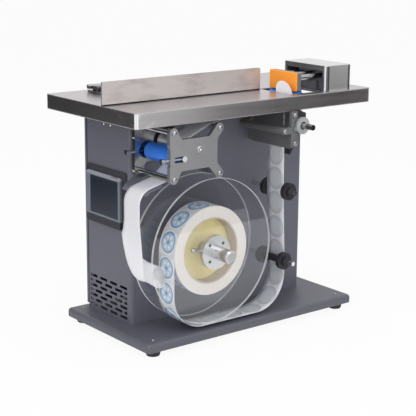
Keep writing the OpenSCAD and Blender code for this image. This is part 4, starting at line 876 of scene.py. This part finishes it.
class LABELLER_OT_finishes(LabellerOperator, bpy.types.Operator):
    """Give every CAD node its finish"""

    bl_idname = "labeller.finishes"
    bl_label = "Finishes"

    def execute(self, context):
        c = self.colours
        reel = at(REEL[0], 0, REEL[1])
        knob = at(KNOB[0], 0, KNOB[1])
        disc_low, disc_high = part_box("reel_front_disc")
        disc_r = (disc_high[0] - disc_low[0]) / 2
        roll_low, roll_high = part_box("label_roll")
        roll_r = (roll_high[0] - roll_low[0]) / 2
        roll_y = (roll_low[1] + roll_high[1]) / 2
        # Grain of the brushed finishes along X, Y and Z
        sheet, milled = (6, 420, 420), (90, 420, 90)
        drawn, pressed = (120, 120, 120), (120, 120, 300)
        made = {
            powder_coat("powder coat", c.coat, at(0, COVER_JOINT, 0).y): (
                "cabinet_shell", "rear_cover",
            ),
            # Painted shade: the base plate takes a darker copy of the powder coat
            powder_coat("base coat", c.base): ("base_plate",),
            brushed("stainless sheet", c.steel, 0.20, sheet, 0.0028, table_marks_and_sheen): (
                "tabletop", "fence_arms",
            ),
            brushed("fence sheet", c.fence, 0.42, sheet, 0.0, fence_stains_and_shadow): ("fence_plate",),
            brushed("housing sheet", c.housing, 0.30, sheet, 0.0008, housing_painted_shading): (
                "press_housing",
            ),
            brushed("machined plate", c.plate, 0.34, milled): (
                "drive_front_plate", "motor_plate",
            ),
            polished("satin plate", c.satin, 0.15): ("drive_back_plate",),
            polished("polished steel", c.chrome, 0.10): (
                "table_roller_axle", "drive_shaft", "pinch_axle", "guide_rods",
            ),
            polished("dull steel", c.dull, 0.16): (
                "press_rods", "drive_tie_rods", "plate_screws", "pinch_screws", "thumb_screw",
            ),
            turned("turned spindle", c.spindle, reel, 0.16): ("reel_spindle",),
            turned("turned hub", c.alloy, reel, 0.24): ("reel_hub", "reel_bearing"),
            turned("turned knob", c.knob, knob, 0.46, KNOB_SPINDLE): ("peel_knob",),
            brushed("drawn aluminium", c.alloy, 0.34, drawn): (
                "drive_pulley", "motor_pulley", "power_supply", "drive_roller",
            ),
            brushed("press plate", c.pad, 0.40, pressed): ("press_plate",),
            moulded("anodised grey", c.anodised, 0.42): (
                "peel_end_plates", "peel_tie_bar", "peel_blade",
            ),
            rubber("blue rubber", c.roller, 0.38): ("table_roller", "pinch_roller"),
            rubber("foot rubber", c.black, 0.62): ("rubber_feet", "drive_belt"),
            moulded("glossy knob", c.black, 0.16, 600, 0.5): (
                "clamp_knob_left", "clamp_knob_right",
            ),
            moulded("black plastic", c.black, 0.42): (
                "table_roller_blocks", "motor", "power_inlet", "rocker_switch", "guide_collars",
                "guide_sleeve_upper", "guide_sleeve_lower", "label_sensor", "peel_roller",
            ),
            moulded("panel surround", c.surround, 0.45): ("screen_surround",),
            moulded("press block", c.block, 0.42): ("press_block",),
            panel_frame("panel bezel", c.bezel): ("screen_bezel",),
            touch_glass("touch glass"): ("screen_glass",),
            acrylic("clear acrylic", reel, disc_r): ("reel_front_disc", "reel_back_disc"),
            moulded("cream boss", c.cream, 0.44, 500): ("core_hub",),
            cardboard("cardboard", c.card): ("label_core",),
            roll_paper("label roll", self.sizes, c, reel, roll_r, roll_y): ("label_roll",),
            plain_paper("white paper", c.peeled, 0.55): ("standing_label",),
            plain_paper("grey paper", c.blank, 0.5): (),
            plain_paper("glazed paper", c.liner, 0.36): ("label_strip", "waste_liner"),
            sponge("orange foam", c.foam): ("press_foam",),
            moulded("circuit board", c.board, 0.4): ("control_board",),
        }
        for material, nodes in made.items():
            for node in nodes:
                for slot in NODES[node].material_slots:
                    slot.material = material
        dressed = {node for nodes in made.values() for node in nodes}
        if dressed != set(NODES):
            raise RuntimeError("no finish for " + ", ".join(sorted(set(NODES) - dressed)))
        return {"FINISHED"}


class LABELLER_OT_paper(LabellerOperator, bpy.types.Operator):
    """Label strip and backing paper"""

    bl_idname = "labeller.paper"
    bl_label = "Paper"

    def execute(self, context):
        s, c = self.sizes, self.colours
        both = {"offset": 0.0, "material_offset": 1}
        width = (WEB_BACK - WEB_FRONT) / 1000
        bm, total = paper_sheet(dense(route(STRIP_WRAPS)), WEB_FRONT, WEB_BACK)
        strip_front("printed strip", s, c, total, width)
        strip_back("strip reverse", s, c, total, width)
        faces = ["printed strip", "strip reverse"]
        strip = piece("printed_strip", bm, faces, "machine", 60)
        thicken(strip, s.web, **both)
        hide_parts("label_strip")
        climb = heading(STRIP_WRAPS[-2], STRIP_WRAPS[-1])
        columns = 8
        rows = [
            [(x, WEB_BACK + (WEB_FRONT - WEB_BACK) * k / columns, z) for k in range(columns + 1)]
            for x, z in dense(route(LINER_WRAPS, climb))
        ]
        bm = lofted_sheet(rows + tail_rows(columns)[1:])
        liner = piece("backing_paper", bm, ["glazed paper"] * 2, "machine", 60)
        thicken(liner, s.web, **both)
        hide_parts("waste_liner")
        return {"FINISHED"}


class LABELLER_OT_foam(LabellerOperator, bpy.types.Operator):
    """Foam of the press pad"""

    bl_idname = "labeller.foam"
    bl_label = "Press foam"

    def execute(self, context):
        bm = slab(*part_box("press_foam"), FOAM_EDGE)
        foam = piece("foam_pad", bm, ["orange foam"], "press")
        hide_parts("press_foam")
        return {"FINISHED"}


class LABELLER_OT_label(LabellerOperator, bpy.types.Operator):
    """Peeled label that stands up in the window, and the blank one on the tail"""

    bl_idname = "labeller.label"
    bl_label = "Loose labels"

    def execute(self, context):
        s = self.sizes
        low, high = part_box("standing_label")
        lean = math.radians(12.5)
        axis = Vector((math.cos(lean), 0, math.sin(lean)))
        middle = Vector((at(LABEL_X, 0, 0).x, (low[1] + high[1]) / 2, (low[2] + high[2]) / 2))
        bm = pin(middle - axis * s.web / 2, axis, s.label / 2, s.web, 64)
        label = piece("peeled_label", bm, ["white paper"], "machine")
        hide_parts("standing_label")
        bm = tail_oval(*OVAL)
        blank = piece("waste_label", bm, ["grey paper"], "machine")
        thicken(blank, s.web)
        return {"FINISHED"}


class LABELLER_OT_fasteners(LabellerOperator, bpy.types.Operator):
    """Small screws, plugs, the drive shaft's end and the peel unit's stud"""

    bl_idname = "labeller.fasteners"
    bl_label = "Fasteners"

    def execute(self, context):
        r = self.sizes.screw
        up, left, ahead, back = (0, 0, 1), (-1, 0, 0), (0, -1, 0), (0, 1, 0)
        screws = [socket_screw(at(x, y, BASE_TOP), up, r, BASE_HEAD) for x, y in BASE_SCREWS]
        screws += [socket_screw(at(x, REAR_FACE, z), back, r, REAR_HEAD) for x, z in REAR_SCREWS]
        piece("cover_screws", joined(screws), ["dull steel"], "machine")
        screws = [socket_screw(at(SIDE_FACE, y, z), left, r, SIDE_HEAD) for y, z in SIDE_SCREWS]
        piece("side_screws", joined(screws), ["polished steel"], "machine")
        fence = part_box("fence_plate")[0]
        y, z = fence[1] + PLUG_LENGTH + PLUG_SUNK, fence[2] + PLUG_UP
        plugs = [
            pin((at(x, 0, 0).x, y, z), ahead, PLUG_RADIUS, PLUG_LENGTH, 32) for x in FENCE_HOLES
        ]
        piece("fence_plugs", joined(plugs), ["fence sheet"], "fence")
        hub_low, hub_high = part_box("reel_hub")
        reel = at(REEL[0], 0, REEL[1])
        circle = (hub_high[0] - hub_low[0]) * 0.34
        screws = []
        for k in range(4):
            bearing = math.radians(45 + 90 * k)
            x, z = reel.x + math.cos(bearing) * circle, reel.z + math.sin(bearing) * circle
            screws.append(socket_screw((x, hub_low[1] + HUB_RECESS, z), ahead, r, HUB_HEAD))
        piece("hub_screws", joined(screws), ["dull steel"], "reel_front")
        rings = [(radius, height, 32) for radius, height in SHAFT_END]
        bm = stack(rings, at(DRIVE[0], 0, DRIVE[1]), ahead)
        piece("shaft_end", bm, ["polished steel"], "drive")
        stud = [pin(at(*STUD, STUD_FOOT), up, STUD_RADIUS, STUD_LENGTH, 16)]
        stud += [pin(at(*STUD, z), up, NUT_RADIUS, NUT_HEIGHT, 6) for z in STUD_NUTS]
        piece("peel_stud", joined(stud), ["anodised grey"], "machine")
        return {"FINISHED"}


class LABELLER_OT_stage(LabellerOperator, bpy.types.Operator):
    """Floor, light and camera"""

    bl_idname = "labeller.stage"
    bl_label = "Stage"

    def execute(self, context):
        s = context.scene.labeller_stage
        self.floor()
        for card in CARDS:
            self.card(*card, s.card)
        self.world(context.scene)
        self.lamp("overhead", s.key, (-0.3, -0.4, 2.2), 2.4)
        self.lamp("front", s.front, (0.1, -2.7, 1.2), 1.8)
        self.lamp("side", s.fill, (-2.4, -0.9, 1.3), 1.6)
        self.camera(context.scene, s)
        context.scene.view_settings.view_transform = "Standard"
        return {"FINISHED"}

    def floor(self):
        bm = bmesh.new()
        bmesh.ops.create_grid(bm, x_segments=1, y_segments=1, size=24.0)
        f = Finish("pale floor")
        cloud = f.noise(f.object_place(), 3, 2)
        matt = f.shader(f.mix(cloud, rgb(WHITE, 0.80), rgb(WHITE, 0.84)), 0.8)
        finish = f.done(f.blend(self.seen(f) * 0.93, matt, f.glow(1.0)))
        floor = mesh_object("floor", bm, [finish])

    def card(self, name, foot, facing, width, height, level):
        """Grey studio card, standing on the floor, that only reflections see."""
        bm = bmesh.new()
        bmesh.ops.create_grid(bm, x_segments=1, y_segments=1, size=0.5)
        bmesh.ops.scale(bm, vec=(width, height, 1), verts=bm.verts)
        turn = Vector(facing).to_track_quat("Z", "Y").to_matrix().to_4x4()
        place = Matrix.Translation(Vector(foot) + Vector((0, 0, height / 2)))
        bmesh.ops.transform(bm, matrix=place @ turn, verts=bm.verts)
        f = Finish(name)
        card = mesh_object(name, bm, [f.done(f.glow(level))])
        for kind in ("camera", "diffuse", "transmission", "volume_scatter", "shadow"):
            setattr(card, "visible_" + kind, False)

    def seen(self, f):
        """Rays that show the backdrop: straight from the camera, mirrored or through glass."""
        camera = f.add("ShaderNodeLightPath", out="Is Camera Ray")
        node = camera.out.node
        mirrored = Sock(f, node.outputs["Is Glossy Ray"])
        through = Sock(f, node.outputs["Is Transmission Ray"])
        return f.math("MAXIMUM", f.math("MAXIMUM", camera, mirrored), through)

    def world(self, scene):
        scene.world = bpy.data.worlds.new("studio")
        f = Finish("studio", scene.world)
        strength = AMBIENT + self.seen(f) * (1 - AMBIENT)
        sky = f.add("ShaderNodeBackground", None, {"Color": WHITE, "Strength": strength})
        f.add("ShaderNodeOutputWorld", None, {"Surface": sky})

    def lamp(self, name, watts, place, size):
        data = bpy.data.lights.new(name, "AREA")
        data.energy = watts
        data.size = size
        lamp = bpy.data.objects.new(name, data)
        lamp.location = place
        aim = Vector((0, 0, 0.2)) - Vector(place)
        lamp.rotation_euler = aim.to_track_quat("-Z", "Y").to_euler()
        bpy.context.scene.collection.objects.link(lamp)

    def camera(self, scene, s):
        data = bpy.data.cameras.new("photo")
        data.lens = s.lens
        data.sensor_width = 36.0
        data.clip_end = 50.0
        camera = bpy.data.objects.new("photo", data)
        flat = math.cos(s.pitch)
        ahead = Vector((math.sin(s.yaw) * flat, math.cos(s.yaw) * flat, -math.sin(s.pitch)))
        right = Vector((math.cos(s.yaw), -math.sin(s.yaw), 0))
        up = right.cross(ahead)
        side = right * math.cos(s.roll) + up * math.sin(s.roll)
        top = up * math.cos(s.roll) - right * math.sin(s.roll)
        turn = Matrix((side, top, -ahead)).transposed().to_4x4()
        camera.matrix_world = Matrix.Translation(s.eye) @ turn
        scene.collection.objects.link(camera)
        scene.camera = camera


OPERATORS = (
    LABELLER_OT_finishes, LABELLER_OT_paper, LABELLER_OT_foam, LABELLER_OT_label,
    LABELLER_OT_fasteners, LABELLER_OT_stage,
)


class LABELLER_PT_panel(bpy.types.Panel):
    """Lists the pieces of the machine"""

    bl_idname = "LABELLER_PT_panel"
    bl_label = "Labelling machine"
    bl_space_type = "VIEW_3D"
    bl_region_type = "UI"
    bl_category = "Labeller"

    def draw(self, context):
        for operator in OPERATORS:
            self.layout.operator(operator.bl_idname, text=operator.bl_label)


GROUPS = {
    "labeller_colours": LabellerColours, "labeller_sizes": LabellerSizes,
    "labeller_stage": LabellerStage,
}


def register():
    for cls in (*GROUPS.values(), *OPERATORS, LABELLER_PT_panel):
        bpy.utils.register_class(cls)
    for name, cls in GROUPS.items():
        setattr(bpy.types.Scene, name, bpy.props.PointerProperty(type=cls))


def unregister():
    for name in GROUPS:
        delattr(bpy.types.Scene, name)
    for cls in (LABELLER_PT_panel, *reversed(OPERATORS), *GROUPS.values()):
        bpy.utils.unregister_class(cls)


def main():
    register()
    for operator in OPERATORS:
        group, name = operator.bl_idname.split(".")
        getattr(getattr(bpy.ops, group), name)()


if __name__ == "__main__":
    main()
